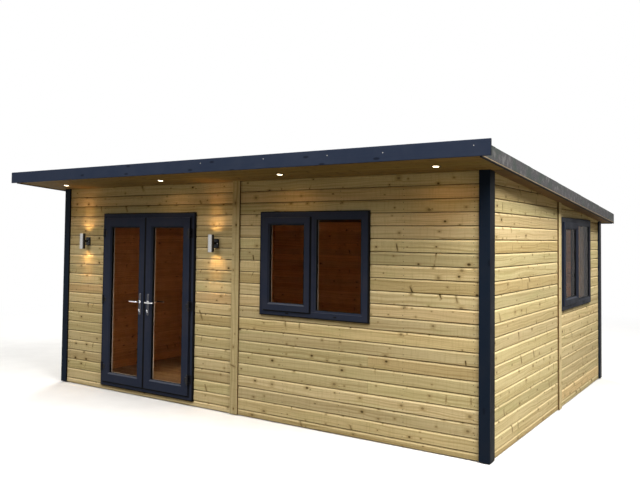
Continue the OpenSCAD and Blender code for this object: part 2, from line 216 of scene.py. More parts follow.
PLATE_H = 0.240
PLATE_T = 0.009
PLATE_DROP = 0.146
PLATE_ROUND = 0.012
PLATE_STEPS = ((0, 0.0), (0, 0.55), (0.0025, 0.9), (0.005, 1.0))
SCREWS_AT = (PLATE_H - PLATE_DROP - 0.016, 0.016 - PLATE_DROP)
SCREW_HEAD = ((0, -0.0002), (0.00095, -0.0002), (0.00133, 0.0004), (0.00342, 0.0005), (0.0038, 0),
              (0.0038, -0.001), (0, -0.001)), 16
ROSE = ((0, -0.001), (0.0155, -0.001), (0.0155, 0.002), (0.012, 0.004), (0, 0.004)), 28
LOCK_DROP = 0.092
LOCK = ((0, -0.001), (0.010, -0.001), (0.010, 0.010), (0.008, 0.012), (0, 0.012)), 24
BARREL = (-0.0045, -0.003, -0.024), (0.0045, 0.001, 0)
KEYWAY = (-0.0012, -0.0125, -0.005), (0.0012, -0.0115, 0.005)

# Wall lights and downlights. The heights of LAMP_END and LAMP_LENS count from the end of the tube
LAMP_BORE = 0.028
LAMP_END = ((0.032, -0.001), (0.031, 0), (0.029, 0), (0.028, -0.001), (0.028, -0.008), (0, -0.008))
LAMP_SIDES = 48
LAMP_LENS = ((0, -0.008), (0.0275, -0.008), (0.0275, -0.005), (0.0168, -0.0035), (0, -0.003)), 32
LAMP_CAP = ((0, 0.018), (0.006, 0.018), (0.006, 0.020), (0.004, 0.0225), (0, 0.023)), 20
LAMP_STAND = 0.090
LAMP_FRONT = math.radians(54)
LAMP_ARM = ((0, 0), (0.013, 0), (0.013, 0.05864), (0, 0.05864)), 28
BRACKET_BEVEL = 0.002
BASE_W = 0.064
BASE_H = 0.092
BASE_T = 0.018
BASE_ROUND = 0.008
BASE_SCREW_X = 0.021
GLOW_STAND = 0.072
GLOW_GAP = 0.004
GLOW_SIZE = 0.02
LAMP_LIGHTS = (("", 2.1, 160, (1.0, 0.60, 0.27)), ("_beam", 5.2, 56, (1.0, 0.48, 0.16)))
DOWNLIGHTS = 4
DOWNLIGHT_R = 0.042
DOWNLIGHT_RIM = ((0, 0), (0.042, 0), (0.042, -0.0015), (0.039, -0.004), (0.033, -0.004), (0.030, -0.002),
                 (0, -0.002)), 40
DOWNLIGHT_LENS = ((0, -0.0021), (0.025, -0.0021), (0.0245, -0.0042), (0.019, -0.0058), (0.009, -0.0066),
                  (0, -0.0068)), 32
DOWN_LIGHT = (2.4, 165, (1.0, 0.56, 0.23))
DOWN_LIGHT_GAP = 0.014

# Camera, solved from the photograph's edges, and the stage
CAMERA_PLACE = Vector((4.6068, -7.2660, 1.7897))
CAMERA_YAW = math.radians(33.381)
CAMERA_PITCH = math.radians(2.147)
CAMERA_ROLL = math.radians(0.599)
CAMERA_LENS_MM = 38.88
SENSOR_MM = 36.0
SHIFT_X = 0.0008
SHIFT_Y = -0.0447
FLOOR_REACH = 60.0
FLOOR_Z = -0.002
FLOOR_FADE = (4.5, 11.0)
DAYLIGHT = (1.0, 0.98, 0.94)
LAMP_SIZE = 6.0
LIT_POINT = Vector((0, 0, 1.0))
LAMPS = {"key": ((7.1, -3.6, 8.5), 1780), "fill": ((-1.2, -8.4, 8.0), 520), "rear": ((-6.5, 7.5, 6.5), 1100)}

# Angles for smooth shading and bevels, and a distance well outside the building
SMOOTH_BELOW = math.radians(32)
BEVEL_ABOVE = math.radians(40)
BEYOND = 1.0

# The frame's own places
low_corner, high_corner = cad_box
panel_low, panel_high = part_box("roof_panel")
felt_low, felt_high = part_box("roof_felt")
clad_low, clad_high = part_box("right_cladding")
wall_low, wall_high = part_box("right_wall")
floor_low, floor_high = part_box("floor_deck")
door_low, door_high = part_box("door_frame")
window_low, window_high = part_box("front_window_frame")
side_window_low, side_window_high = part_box("side_window_frame")
front_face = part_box("front_cladding_left")[0].y
rear_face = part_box("rear_cladding")[1].y
side_face = clad_high.x
trim_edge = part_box("corner_trims")[1].x
ground_z = clad_low.z
room_x = wall_low.x
front_strip_x = door_high.x + STRIP_FROM_DOOR
side_strip_y = side_window_low.y - STRIP_FROM_WINDOW - TRIM_W
roof_fall = (panel_high.z - panel_low.z - ROOF_T) / (panel_high.y - panel_low.y)
roof_angle = math.atan(roof_fall)


def soffit_z(y):
    return panel_low.z + roof_fall * (panel_high.y - y)


class Shape:
    """Collects closed solids for one piece. Its boards run along one axis, and each has its own number."""

    def __init__(self, along=0, across=2):
        self.corners, self.faces, self.boards = [], [], []
        self.axes = along, across

    def add(self, solid, board=0.5):
        corners, faces = solid
        first = len(self.corners)
        self.corners += [tuple(c) for c in corners]
        self.faces += [[first + i for i in face] for face in faces]
        self.boards += [board] * len(faces)
        return self

    def object(self, name):
        mesh = bpy.data.meshes.new(name)
        mesh.from_pydata(self.corners, [], self.faces)
        mesh.attributes.new("board", "FLOAT", "FACE").data.foreach_set("value", self.boards)
        made = bmesh.new()
        made.from_mesh(mesh)
        bmesh.ops.recalc_face_normals(made, faces=made.faces)
        made.to_mesh(mesh)
        made.free()
        return link(bpy.data.objects.new(name, mesh))


def link(obj):
    bpy.context.scene.collection.objects.link(obj)
    return obj


def write_grain(mesh, axes):
    """Gives each face corner its place on its board: along it, across it, and the board's number."""
    boards = mesh.attributes["board"].data
    places = mesh.attributes.new("grain", "FLOAT_VECTOR", "CORNER").data
    for face in mesh.polygons:
        for loop in face.loop_indices:
            corner = mesh.vertices[mesh.loops[loop].vertex_index].co
            places[loop].vector = (corner[axes[0]], corner[axes[1]], boards[face.index].value)


def cut_away(obj, cutters):
    """Takes closed solids out of obj."""
    tool = Shape()
    for solid in cutters:
        tool.add(solid)
    tool = tool.object("cutter")
    made = obj.modifiers.new("cut", "BOOLEAN")
    made.operation = "DIFFERENCE"
    made.solver = "EXACT"
    made.object = tool
    bpy.context.view_layer.update()
    mesh = bpy.data.meshes.new_from_object(obj.evaluated_get(bpy.context.evaluated_depsgraph_get()))
    obj.modifiers.clear()
    obj.data = mesh
    bpy.data.objects.remove(tool)


def piece(name, shape, material, body="root", replaces=(), bevel=0.0, smooth=False, cut=None):
    """Makes a piece, cuts it, and puts it on its body."""
    obj = shape.object(name)
    if cut:
        cut_away(obj, cut)
    write_grain(obj.data, shape.axes)
    obj.data.materials.clear()
    obj.data.materials.append(material)
    if smooth:
        obj.data.shade_smooth()
        obj.data.set_sharp_from_angle(angle=SMOOTH_BELOW)
    if bevel:
        made = obj.modifiers.new("arris", "BEVEL")
        made.width = bevel
        made.segments = 2
        made.limit_method = "ANGLE"
        made.angle_limit = BEVEL_ABOVE
    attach(obj, body)
    if replaces:
        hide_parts(*replaces)
    return obj


def paint_on_faces(obj, material, chosen):
    """Gives the faces that chosen(face) picks a second material, which paints shade or a reflection on them.
    """
    obj.data.materials.append(material)
    for face in obj.data.polygons:
        if chosen(face):
            face.material_index = 1


def loft(rows, joined=False):
    """Skins rows of points, each a loop or one point. The ends are closed, or joined to each other."""
    corners, loops = [], []
    for row in rows:
        loops.append(range(len(corners), len(corners) + len(row)))
        corners += row
    count = max(len(row) for row in rows)
    faces = []
    for low, high in zip(loops, loops[1:] + loops[:1] if joined else loops[1:]):
        for i in range(count):
            turn = (i + 1) % count
            face = low[i % len(low)], low[turn % len(low)], high[turn % len(high)], high[i % len(high)]
            faces.append(list(dict.fromkeys(face)))
    if not joined and len(rows[0]) > 1:
        faces += [list(loops[0])[::-1], list(loops[-1])]
    return corners, faces


def here(x, y, z):
    return (x, y, z)


def moved(place, dx, dy, dz):
    """Places points from an origin of their own."""
    return lambda x, y, z: place(x + dx, y + dy, z + dz)


def facing(place, dx, dy, dz):
    """Places points from an origin of their own, with their height towards the front."""
    return lambda x, y, z: place(x + dx, dy - z, y + dz)


def block(low, high, place=here):
    """A box between two corners."""
    outline = ((low[0], low[1]), (high[0], low[1]), (high[0], high[1]), (low[0], high[1]))
    return loft([[place(x, y, z) for x, y in outline] for z in (low[2], high[2])])


def prism(outline, start, end, place):
    """An outline of (u, v) points, run from start to end; place(a, u, v) gives the point in space."""
    return loft([[place(a, u, v) for u, v in outline] for a in (start, end)])


def ring(steps, place):
    """A closed frame: each step is a rectangle (x0, z0, x1, z1) at a depth, and the last joins the first."""
    return loft([[place(x, depth, z) for x, z in ((x0, z0), (x1, z0), (x1, z1), (x0, z1))]
                 for (x0, z0, x1, z1), depth in steps], joined=True)


def lathe(profile, steps, place):
    """Turns (radius, height) points about an axis; place(x, y, height) gives the point in space."""
    rows = []
    for radius, height in profile:
        turns = [2 * math.pi * i / steps for i in range(steps if radius else 1)]
        rows.append([place(radius * math.cos(t), radius * math.sin(t), height) for t in turns])
    return loft(rows)


def tube(path, radii, place, steps=16):
    """A round bar along a path of points, with its own radius at each, closed at both ends."""
    points = [Vector(p) for p in path]
    rows = []
    side = Vector((0, 0, 1))
    for i, point in enumerate(points):
        ahead = (points[min(i + 1, len(points) - 1)] - points[max(i - 1, 0)]).normalized()
        across = ahead.cross(side).normalized()
        side = across.cross(ahead).normalized()
        turns = [2 * math.pi * k / steps for k in range(steps)]
        around = [point + across * (radii[i] * math.cos(t)) + side * (radii[i] * math.sin(t)) for t in turns]
        rows.append([place(*corner) for corner in around])
    return loft(rows)


def inset(rect, by):
    return (rect[0] + by, rect[1] + by, rect[2] - by, rect[3] - by)


def rims(rect, *pairs):
    """Steps for a ring, each given by its inset from a rectangle and its depth."""
    return [(inset(rect, by), depth) for by, depth in pairs]


def chamfered(u0, u1, v0, v1, by):
    """A rectangle with small chamfers, as an outline."""
    return [(u0 + by, v0), (u1 - by, v0), (u1, v0 + by), (u1, v1 - by), (u1 - by, v1), (u0 + by, v1),
            (u0, v1 - by), (u0, v0 + by)]


def rounded(width, height, radius, steps=6):
    """Outline of a plate with round corners, as (x, z) from its middle."""
    points = []
    u, v = width / 2 - radius, height / 2 - radius
    for cx, cz, first in ((u, -v, -90), (u, v, 0), (-u, v, 90), (-u, -v, 180)):
        turns = [math.radians(first + 90 * i / steps) for i in range(steps + 1)]
        points += [(cx + radius * math.cos(t), cz + radius * math.sin(t)) for t in turns]
    return points


class Side:
    """One side of the building. Boards run along its axis, and out is the distance in front of them."""

    def __init__(self, name, axis, face, room, openings=()):
        self.name, self.axis, self.face, self.openings = name, axis, face, openings
        self.sign = math.copysign(1, face)
        self.wall_t = abs(face - room) - BOARD_T
        spans = (-side_face, front_strip_x, side_face), (clad_low.y, side_strip_y, clad_high.y)
        self.start, self.strip, self.end = spans[axis]
        self.outward = self.at(0, 1, 0) - self.at(0, 0, 0)

    def at(self, along, out, z):
        across = self.face + self.sign * out
        return Vector((across, along, z) if self.axis else (along, across, z))

    def space(self, along, out, z):
        """A box between pairs of values."""
        spans = [sorted(pair) for pair in zip(*(self.at(along[i], out[i], z[i]) for i in (0, 1)))]
        return block([span[0] for span in spans], [span[1] for span in spans])

    def cutters(self):
        """What the roof and the frames take from the wall, with a clearance beside and above each frame."""
        taken = [above_roof()]
        for low, high in self.openings:
            along = (low[self.axis] - FRAME_GAP, high[self.axis] + FRAME_GAP)
            taken.append(self.space(along, (-1.0, 0.5), (low.z, high.z + FRAME_GAP)))
        return taken


def above_roof():
    """All that lies over the soffit, to cut the tops of the walls."""
    y0, y1, top = low_corner.y - BEYOND, high_corner.y + BEYOND, high_corner.z + BEYOND
    outline = [(y0, soffit_z(y0)), (y1, soffit_z(y1)), (y1, top), (y0, top)]
    return prism(outline, low_corner.x - BEYOND, high_corner.x + BEYOND, here)


def below_ground():
    low = (low_corner.x - BEYOND, low_corner.y - BEYOND, -BEYOND)
    return block(low, (high_corner.x + BEYOND, high_corner.y + BEYOND, ground_z))


FRONT = Side("front", 0, front_face, wall_low.y, [(door_low, door_high), (window_low, window_high)])
REAR = Side("rear", 0, rear_face, wall_high.y)
RIGHT = Side("right", 1, side_face, room_x, [(side_window_low, side_window_high)])
LEFT = Side("left", 1, -side_face, -room_x)
SIDES = (FRONT, REAR, RIGHT, LEFT)


def arithmetic(operation):
    return lambda wire, other: wire.nodes.math(operation, wire, other)


class Wire:
    """A value that runs between nodes. Arithmetic on it adds math nodes."""

    def __init__(self, nodes, socket):
        self.nodes, self.socket = nodes, socket

    __add__, __sub__ = arithmetic("ADD"), arithmetic("SUBTRACT")
    __mul__, __truediv__ = arithmetic("MULTIPLY"), arithmetic("DIVIDE")
    __pow__, __gt__ = arithmetic("POWER"), arithmetic("GREATER_THAN")


class Nodes:
    """The nodes of a material or a world."""

    def __init__(self, owner):
        self.owner = owner
        owner.use_nodes = True
        self.tree = owner.node_tree
        self.tree.nodes.clear()

    def add(self, kind, inputs=None, **settings):
        """A new node. Its inputs are given by name or number, as wires, sockets or plain values."""
        node = self.tree.nodes.new("ShaderNode" + kind)
        for name, value in settings.items():
            setattr(node, name, value)
        for name, value in (inputs or {}).items():
            value, socket = getattr(value, "socket", value), node.inputs[name]
            if isinstance(value, bpy.types.NodeSocket):
                self.tree.links.new(value, socket)
            else:
                socket.default_value = (*value, 1.0) if socket.type == "RGBA" else value
        return node

    def wire(self, kind, inputs=None, output=0, **settings):
        return Wire(self, self.add(kind, inputs, **settings).outputs[output])

    def math(self, operation, *values):
        return self.wire("Math", dict(enumerate(values)), operation=operation)

    def split(self, value, kind="XYZ"):
        return [Wire(self, socket) for socket in self.add("Separate" + kind, {0: value}).outputs]

    def join(self, x, y, z=0.0):
        return self.wire("CombineXYZ", {"X": x, "Y": y, "Z": z})

    def mix(self, factor, first, second, blend="MIX"):
        """Mixes colours, which are the inputs 6 and 7 and the output 2 of a Mix node."""
        return self.wire("Mix", {0: factor, 6: first, 7: second}, 2, data_type="RGBA", blend_type=blend)

    def step(self, value, low, high, most=1.0, least=0.0):
        inputs = {"Value": value, "From Min": low, "From Max": high, "To Min": least, "To Max": most}
        return self.wire("MapRange", inputs, interpolation_type="SMOOTHSTEP")

    def noise(self, vector, scale, detail=3.0, roughness=0.55, w=None):
        inputs = {"Vector": vector, "Scale": scale, "Detail": detail, "Roughness": roughness}
        if w is None:
            return self.wire("TexNoise", inputs, "Fac")
        return self.wire("TexNoise", {**inputs, "W": w}, "Fac", noise_dimensions="4D")

    def cells(self, vector, **inputs):
        """Flat random cells: their outputs, and three random numbers for each."""
        inputs = {"Vector": vector, "Scale": 1.0, **inputs}
        found = self.add("TexVoronoi", inputs, voronoi_dimensions="2D").outputs
        return found, self.split(found["Color"], "Color")

    def grain_place(self):
        """The place on a board, which write_grain gives: along it, across it, and the board's number."""
        return self.split(self.wire("Attribute", None, "Vector", attribute_name="grain"))

    def object_place(self, scale=(1, 1, 1)):
        return self.wire("Mapping", {"Vector": self.wire("TexCoord", None, "Object"), "Scale": scale})

    def upward(self):
        return self.split(self.wire("NewGeometry", None, "Normal"))[2]

    def painted_side_shade(self, most):
        """A factor for painted shade: it rises to most on faces that look along X, which are made darker and
        greyer.
        """
        across = self.split(self.wire("TexCoord", None, "Normal"))[0]
        return self.step(self.math("ABSOLUTE", across), 0.5, 0.9, most)

    def shader(self, colour, roughness, height=None, bump=0.3, distance=0.001, **inputs):
        named = {name.replace("_", " "): value for name, value in inputs.items()}
        if height is not None:
            named["Normal"] = self.wire("Bump", {"Height": height, "Strength": bump, "Distance": distance})
        return self.wire("BsdfPrincipled", {"Base Color": colour, "Roughness": roughness, **named})

    def finish(self, shader, kind="OutputMaterial"):
        self.add(kind, {"Surface": shader})
        return self.owner

    def surface(self, *looks, **inputs):
        return self.finish(self.shader(*looks, **inputs))

    def seen_directly(self):
        """1 for rays from the camera, mirrors and glass, and 0 for light that bounces."""
        path = self.add("LightPath").outputs
        mirrored = self.math("MAXIMUM", path["Is Glossy Ray"], path["Is Transmission Ray"])
        return self.math("MAXIMUM", path["Is Camera Ray"], mirrored)


def new_material(name):
    n = Nodes(bpy.data.materials.new(name))
    return n


def scaled(colour, by):
    return tuple(min(1.0, value * by) for value in colour)


GREEN = (0.80, 0.88, 0.74)
WARM = (0.98, 0.80, 0.66)
KNOT_BROWN = (0.055, 0.032, 0.009)
KNOT_CELL = (0.20, 0.085)
SEED_SPREAD = 53.0


def wood(name, pale, dark, knot_share=0.5, green=GREEN, shoulder_highlight=0.0):
    """Sawn softwood with grain, knots and a tone of its own on each board, and a painted highlight on the
    shoulder that faces up.
    """
    n = new_material(name)
    along, across, board = n.grain_place()
    seed = board * SEED_SPREAD
    shifted = along + seed
    tones = n.wire("TexWhiteNoise", {"W": seed}, "Color", noise_dimensions="1D")
    greenish, warmth, lightness = n.split(tones, "Color")
    # Knots: one cell holds at most one knot, and its place and size are random
    cell = n.join(shifted / KNOT_CELL[0], (across + seed) / KNOT_CELL[1])
    cells, (lean, luck, kind) = n.cells(cell, Randomness=0.9)
    off = n.split(n.wire("VectorMath", {0: cell, 1: cells["Position"]}, operation="SUBTRACT"))
    dx, dy = off[0] * KNOT_CELL[0], off[1] * KNOT_CELL[1]
    spike = kind + n.step(greenish, 0.5, 0.75, 0.28) > 0.94
    leant = dy * ((lean - 0.5) * 1.1 * spike) + dx
    wide = leant / (spike * -0.55 + 1.25)
    tall = dy / (spike * 3.0 + 0.85)
    size = (lean ** 2.0 * 0.010 + 0.0048) * (luck > 1.0 - knot_share)
    reach = n.math("SQRT", tall * tall + wide * wide) / n.math("MAXIMUM", size, 0.00001)
    knot = n.step(reach, 1.3, 0.5)
    halo = n.step(reach, 3.4, 1.0)
    dead = (luck > 0.78) * 0.40 + 0.54
    # Grain lines run along the board and bend round the knots
    bend = dy * n.math("EXPONENT", reach * reach * -0.2)
    drift = n.noise(n.join(shifted * 1.3, across), 1.0, 2.0, w=seed)
    wander = (drift - 0.5) * 0.09 + (across + bend)

    def streaks(height, scale_along, scale_across, detail):
        return n.noise(n.join(shifted * scale_along, height * scale_across), 1.0, detail, w=seed)

    lines = streaks(wander, 0.8, 75.0, 3.0)
    fine = streaks(wander, 9.0, 650.0, 2.0)
    patch = streaks(across, 1.7, 9.0, 3.0)
    saw = streaks(across, 70.0, 7.0, 2.0)
    crack = n.step(streaks(wander, 1.1, 170.0, 1.0), 0.70, 0.76, 0.6) * n.step(warmth, 0.45, 0.65)
    colour = n.mix(n.step(lines, 0.42, 0.68, 0.65), pale, dark)
    colour = n.mix(n.step(fine, 0.5, 0.75, 0.35), colour, dark)
    colour = n.mix(n.step(saw, 0.45, 0.8, 0.30), colour, dark)
    colour = n.mix(greenish * 0.65, colour, green, "MULTIPLY")
    colour = n.mix(warmth ** 4.0 * 0.6, colour, WARM, "MULTIPLY")
    colour = n.mix(n.step(patch, 0.5, 0.8, 0.5), colour, green, "MULTIPLY")
    # Painted highlight: the upward slope of the shoulder is paler, as if lit from above.
    if shoulder_highlight:
        colour = n.mix(n.step(n.upward(), 0.05, 0.35, shoulder_highlight), colour, scaled(pale, 1.3))
    colour = n.mix(halo * 0.55, colour, dark)
    colour = n.mix(knot * dead, colour, KNOT_BROWN)
    colour = n.mix(crack, colour, KNOT_BROWN)
    level = lightness * 0.30 + 0.86
    colour = n.mix(1.0, colour, n.join(level, level, level), "MULTIPLY")
    height = fine * 0.35 + (knot * -0.5 + lines * 0.6)
    return n.surface(colour, 0.72, height, 0.35, 0.0012, Specular_IOR_Level=0.1)


def painted_wood(name, colour, lighter, roughness=0.5):
    """Paint on planed boards: faint grain, a slightly worn tone, knots that show through, and painted shade
    on faces that look along X.
    """
    n = new_material(name)
    along, across, board = n.grain_place()
    grain = n.noise(n.join(along * 2.0, across * 190.0), 1.0, 4.0, w=board)
    patch = n.noise(n.join(along, across), 3.0, 4.0, 0.6, w=board)
    mixed = n.mix(n.step(patch, 0.35, 0.75, 0.65), colour, lighter)
    mixed = n.mix(n.step(grain, 0.45, 0.8, 0.35), mixed, lighter)
    cells, chance = n.cells(n.join(along * 3.4, across * 9.0))
    knot = n.step(cells["Distance"], 0.13, 0.06, 0.7) * (chance[0] > 0.4)
    mixed = n.mix(knot, mixed, (0.005, 0.007, 0.014))
    # Painted shade: faces that look along X are darker and greyer.
    mixed = n.mix(n.painted_side_shade(0.8), mixed, (0.0080, 0.0068, 0.0058))
    rough = n.step(patch, 0.3, 0.7, roughness + 0.1, roughness - 0.08)
    return n.surface(mixed, rough, grain, 0.25, 0.0008, Specular_IOR_Level=0.03)


def mineral_felt(name):
    """Mineral chips on bitumen, mottled by weather."""
    n = new_material(name)
    place = n.object_place()
    chips = n.wire("TexVoronoi", {"Vector": place, "Scale": 380.0}, "Color")
    speck = n.split(chips, "Color")[0]
    stain = n.noise(place, 5.0, 5.0, 0.65)
    colour = n.mix(speck, (0.010, 0.010, 0.012), (0.060, 0.058, 0.062))
    colour = n.mix(n.step(n.noise(place, 1.6, 3.0, 0.5), 0.45, 0.75, 0.45), colour, (0.066, 0.056, 0.063))
    colour = n.mix(n.step(n.noise(place, 13.0, 3.0, 0.6), 0.50, 0.64, 0.52), colour, (0.130, 0.128, 0.128))
    colour = n.mix(n.step(stain, 0.48, 0.60, 0.80), colour, (0.020, 0.028, 0.024))
    return n.surface(colour, 0.92, speck * 0.6 + stain * 0.5, 0.6, 0.0015)


def foil_plastic(name, colour, lighter):
    """Grained anthracite foil on the plastic profiles, with a painted highlight on what faces up and painted
    shade on faces that look along X.
    """
    n = new_material(name)
    grain = n.noise(n.object_place((120, 120, 14)), 1.0, 4.0, 0.6)
    dust = n.noise(n.object_place(), 5.0, 4.0, 0.6)
    mixed = n.mix(n.step(dust, 0.35, 0.8, 0.55), colour, lighter)
    # Painted highlight: what faces up is lighter and bluer, as if lit by the sky.
    mixed = n.mix(n.step(n.upward(), 0.3, 0.8, 0.5), mixed, (0.13, 0.14, 0.17))
    # Painted shade: faces that look along X are darker.
    mixed = n.mix(n.painted_side_shade(0.75), mixed, (0.006, 0.006, 0.007))
    rough = n.step(dust, 0.3, 0.75, 0.55, 0.38)
    return n.surface(mixed, rough, grain, 0.18, 0.0005, Specular_IOR_Level=0.015)


def plain(name, colour, roughness, grain_scale=60.0, bump=0.12, vary=0.15, **inputs):
    """An even finish with a little variation in tone and surface."""
    n = new_material(name)
    patch = n.noise(n.object_place(), grain_scale, 4.0)
    wide = n.noise(n.object_place(), grain_scale * 0.12, 3.0)
    mixed = n.mix(n.step(wide, 0.35, 0.7), colour, scaled(colour, 1 - vary))
    return n.surface(mixed, roughness, patch, bump, 0.0005, **inputs)


def brushed_metal(name, colour, roughness):
    n = new_material(name)
    lines = n.noise(n.object_place((40, 40, 900)), 1.0, 3.0)
    rough = n.step(lines, 0.3, 0.7, roughness + 0.08, roughness - 0.06)
    mixed = n.mix(n.step(lines, 0.35, 0.65), colour, scaled(colour, 0.82))
    return n.surface(mixed, rough, lines, 0.1, 0.0003, Metallic=1.0)


def window_glass(name):
    """Clear glass with a faint film. Lamps reach what is behind it."""
    n = new_material(name)
    film = n.step(n.noise(n.object_place(), 9.0, 3.0), 0.35, 0.8)
    tint = n.mix(film, (0.86, 0.80, 0.74), (0.80, 0.74, 0.68))
    glass = n.shader(tint, 0.0, Transmission_Weight=1.0, IOR=1.030, Specular_Tint=(1.0, 0.92, 0.88))
    shadow = n.wire("LightPath", None, "Is Shadow Ray")
    return n.finish(n.wire("MixShader", {0: shadow, 1: glass, 2: n.wire("BsdfTransparent")}))


def lit_lens(name, colour, strength):
    return new_material(name).surface(colour, 0.3, Emission_Color=colour, Emission_Strength=strength)


PINE = wood("pine_boards", (0.65, 0.53, 0.305), (0.36, 0.255, 0.105), 0.6, shoulder_highlight=0.35)
# Painted shade: the soffit's wood is a darker copy of the boards' wood, for the shade under the roof; the
# side fascia boards use it too.
SHADED_SOFFIT = wood("soffit_timber", (0.185, 0.118, 0.034), (0.085, 0.050, 0.012), 0.7)
# Painted shade: a dark copy of the wood for the wall cores, the lining's cut ends and a strip under each side
# overhang.
SHADED = wood("painted_shade_timber", (0.105, 0.063, 0.020), (0.048, 0.026, 0.008))
LINING = wood("wall_lining", (0.90, 0.47, 0.18), (0.60, 0.28, 0.09), 0.35, (0.94, 0.90, 0.84))
FLOORING = wood("floor_boards", (0.52, 0.33, 0.16), (0.34, 0.19, 0.08), 0.2, (0.9, 0.9, 0.88))
# Painted shade: a dark wood for the rebate deep in each cladding joint and the long edges of the cover
# strips.
EDGE_SHADE = wood("painted_edge_shade", (0.15, 0.095, 0.042), (0.085, 0.052, 0.022), 0.2)
BEARER = wood("bearer_timber", (0.36, 0.31, 0.18), (0.24, 0.19, 0.10), 0.3)
CORE = wood("panel_core", (0.26, 0.21, 0.14), (0.16, 0.125, 0.08), 0.2)
TRIM = painted_wood("trim_paint", (0.0078, 0.0140, 0.0270), (0.0140, 0.0185, 0.0290))
FASCIA = painted_wood("fascia_paint", (0.023, 0.033, 0.062), (0.038, 0.048, 0.078), 0.55)
FELT = mineral_felt("mineral_felt")
FOIL = foil_plastic("frame_foil", (0.026, 0.033, 0.058), (0.043, 0.045, 0.063))
RUBBER = plain("gasket_rubber", (0.0030, 0.0030, 0.0035), 0.7, Specular_IOR_Level=0.08)
GLASS = window_glass("window_glass")
SPACER = plain("inner_seal", (0.56, 0.51, 0.47), 0.6)
CHROME = plain("handle_chrome", (0.78, 0.78, 0.79), 0.13, 25.0, 0.03, 0.1, Metallic=1.0)
DARK_CHROME = plain("plate_chrome", (0.075, 0.075, 0.085), 0.24, 25.0, 0.03, 0.2, Metallic=1.0)
BLACK = plain("hinge_black", (0.006, 0.006, 0.009), 0.35, Specular_IOR_Level=0.25)
STEEL = brushed_metal("lamp_steel", (0.50, 0.49, 0.47), 0.30)
# Dark brushed steel: the downlight rims, and a painted reflection on the sides and back of the wall lights'
# tubes.
DARK_STEEL = brushed_metal("dark_steel_and_painted_reflection", (0.060, 0.052, 0.046), 0.42)
NAIL = plain("nail_heads", (0.020, 0.015, 0.010), 0.6, Specular_IOR_Level=0.2)
BRIGHT_NAIL = plain("bright_nails", (0.62, 0.62, 0.60), 0.4, Metallic=0.6)
LENS = lit_lens("lamp_lens", (1.0, 0.80, 0.52), 7.0)


def shiplap_outline(low, high):
    """Section of one cladding board, as (out, z), with its lap at the foot and its shoulder at the head."""
    top = high + LAP - LAP_PLAY
    return [(-BOARD_ARRIS, low), (-LAP_T, low), (-LAP_T, low + LAP), (-BOARD_T, low + LAP), (-BOARD_T, top),
            (-LAP_T - LAP_PLAY, top), *((-depth, high - fall) for depth, fall in SHOULDER),
            (0, low + BOARD_ARRIS)]


def cladding(side, start, end, top):
    """All rows of one panel of cladding, to be cut at the roof, the ground and the openings."""
    shape = Shape(side.axis, 2)
    row = -1
    while BOARD_JOINT_Z + row * BOARD_PITCH < top:
        low = BOARD_JOINT_Z + row * BOARD_PITCH
        tone = random.random()
        joint = BUTT_JOINTS.get((side.name, row), end)
        lengths = [(start, end)]
        if start < joint < end:
            lengths = [(start, joint - BUTT_GAP), (joint + BUTT_GAP, end)]
        for number, (first, last) in enumerate(lengths):
            board = prism(shiplap_outline(low, low + BOARD_PITCH), first, last, side.at)
            shape.add(board, (tone + BUTT_TONE * number) % 1)
        row += 1
    return shape


def build_cladding():
    """The outside boards of each side, in two panels, with painted shade on the rebate deep in each joint."""
    front_nodes = ["front_cladding_left", "front_cladding_over_door", "door_sill_board"]
    for side in SIDES:
        def in_joint(face):
            depth = (side.at(0, 0, 0) - face.center).dot(side.outward)
            slanted = face.normal.z > 0.3 and face.normal.dot(side.outward) > 0.3
            return slanted and REBATE_DEPTH[0] < depth < REBATE_DEPTH[1]

        middle = side.strip + TRIM_W / 2
        nodes = (front_nodes, ["front_cladding_right"]) if side is FRONT else ([f"{side.name}_cladding"], [])
        spans = (side.start, middle - BUTT_GAP), (middle + BUTT_GAP, side.end)
        for number in (0, 1):
            shape = cladding(side, *spans[number], soffit_z(low_corner.y))
            boards = piece(f"{side.name}_boards_{number + 1}", shape, PINE, replaces=nodes[number],
                           cut=side.cutters() + [below_ground()])
            # Painted shade in the joints.
            paint_on_faces(boards, EDGE_SHADE, in_joint)


def nail(shape, centre, axis, radius=NAIL_R):
    """A nail head, slightly domed, with its face along axis."""
    turn = Vector((0, 0, 1)).rotation_difference(Vector(axis)).to_matrix()
    profile = [(0, radius * 0.3), (radius * 0.7, radius * 0.22), (radius, 0), (radius, -radius * 0.5),
               (0, -radius * 0.5)]
    shape.add(lathe(profile, NAIL_STEPS, lambda x, y, z: Vector(centre) + turn @ Vector((x, y, z))))


def is_free(side, along, z):
    """Tells whether a nail at a place on a side stays clear of the openings."""
    return not any(low[side.axis] - NAIL_CLEAR < along < high[side.axis] + NAIL_CLEAR
                   and low.z - NAIL_CLEAR < z < high.z + NAIL_CLEAR for low, high in side.openings)


def build_board_nails():
    """Two nails in each board at every stud."""
    for side in SIDES:
        shape = Shape()
        length = side.end - side.start
        studs = int(length / STUD_PITCH)
        pitch = (length - 2 * TRIM_W - 2 * STUD_INSET) / studs
        for stud in range(studs + 1):
            along = side.start + TRIM_W + STUD_INSET + stud * pitch
            if side.strip - NAIL_CLEAR < along < side.strip + TRIM_W + NAIL_CLEAR:
                continue
            row = 0
            while BOARD_JOINT_Z + (row + 1) * BOARD_PITCH < soffit_z(side.at(along, 0, 0).y):
                for share in NAIL_SHARES:
                    z = BOARD_JOINT_Z + (row + share) * BOARD_PITCH
                    z += random.uniform(-NAIL_SCATTER[1], NAIL_SCATTER[1])
                    place = along + random.uniform(-NAIL_SCATTER[0], NAIL_SCATTER[0])
                    if is_free(side, place, z):
                        nail(shape, side.at(place, 0, z), side.outward)
                row += 1
        piece(f"{side.name}_board_nails", shape, NAIL)


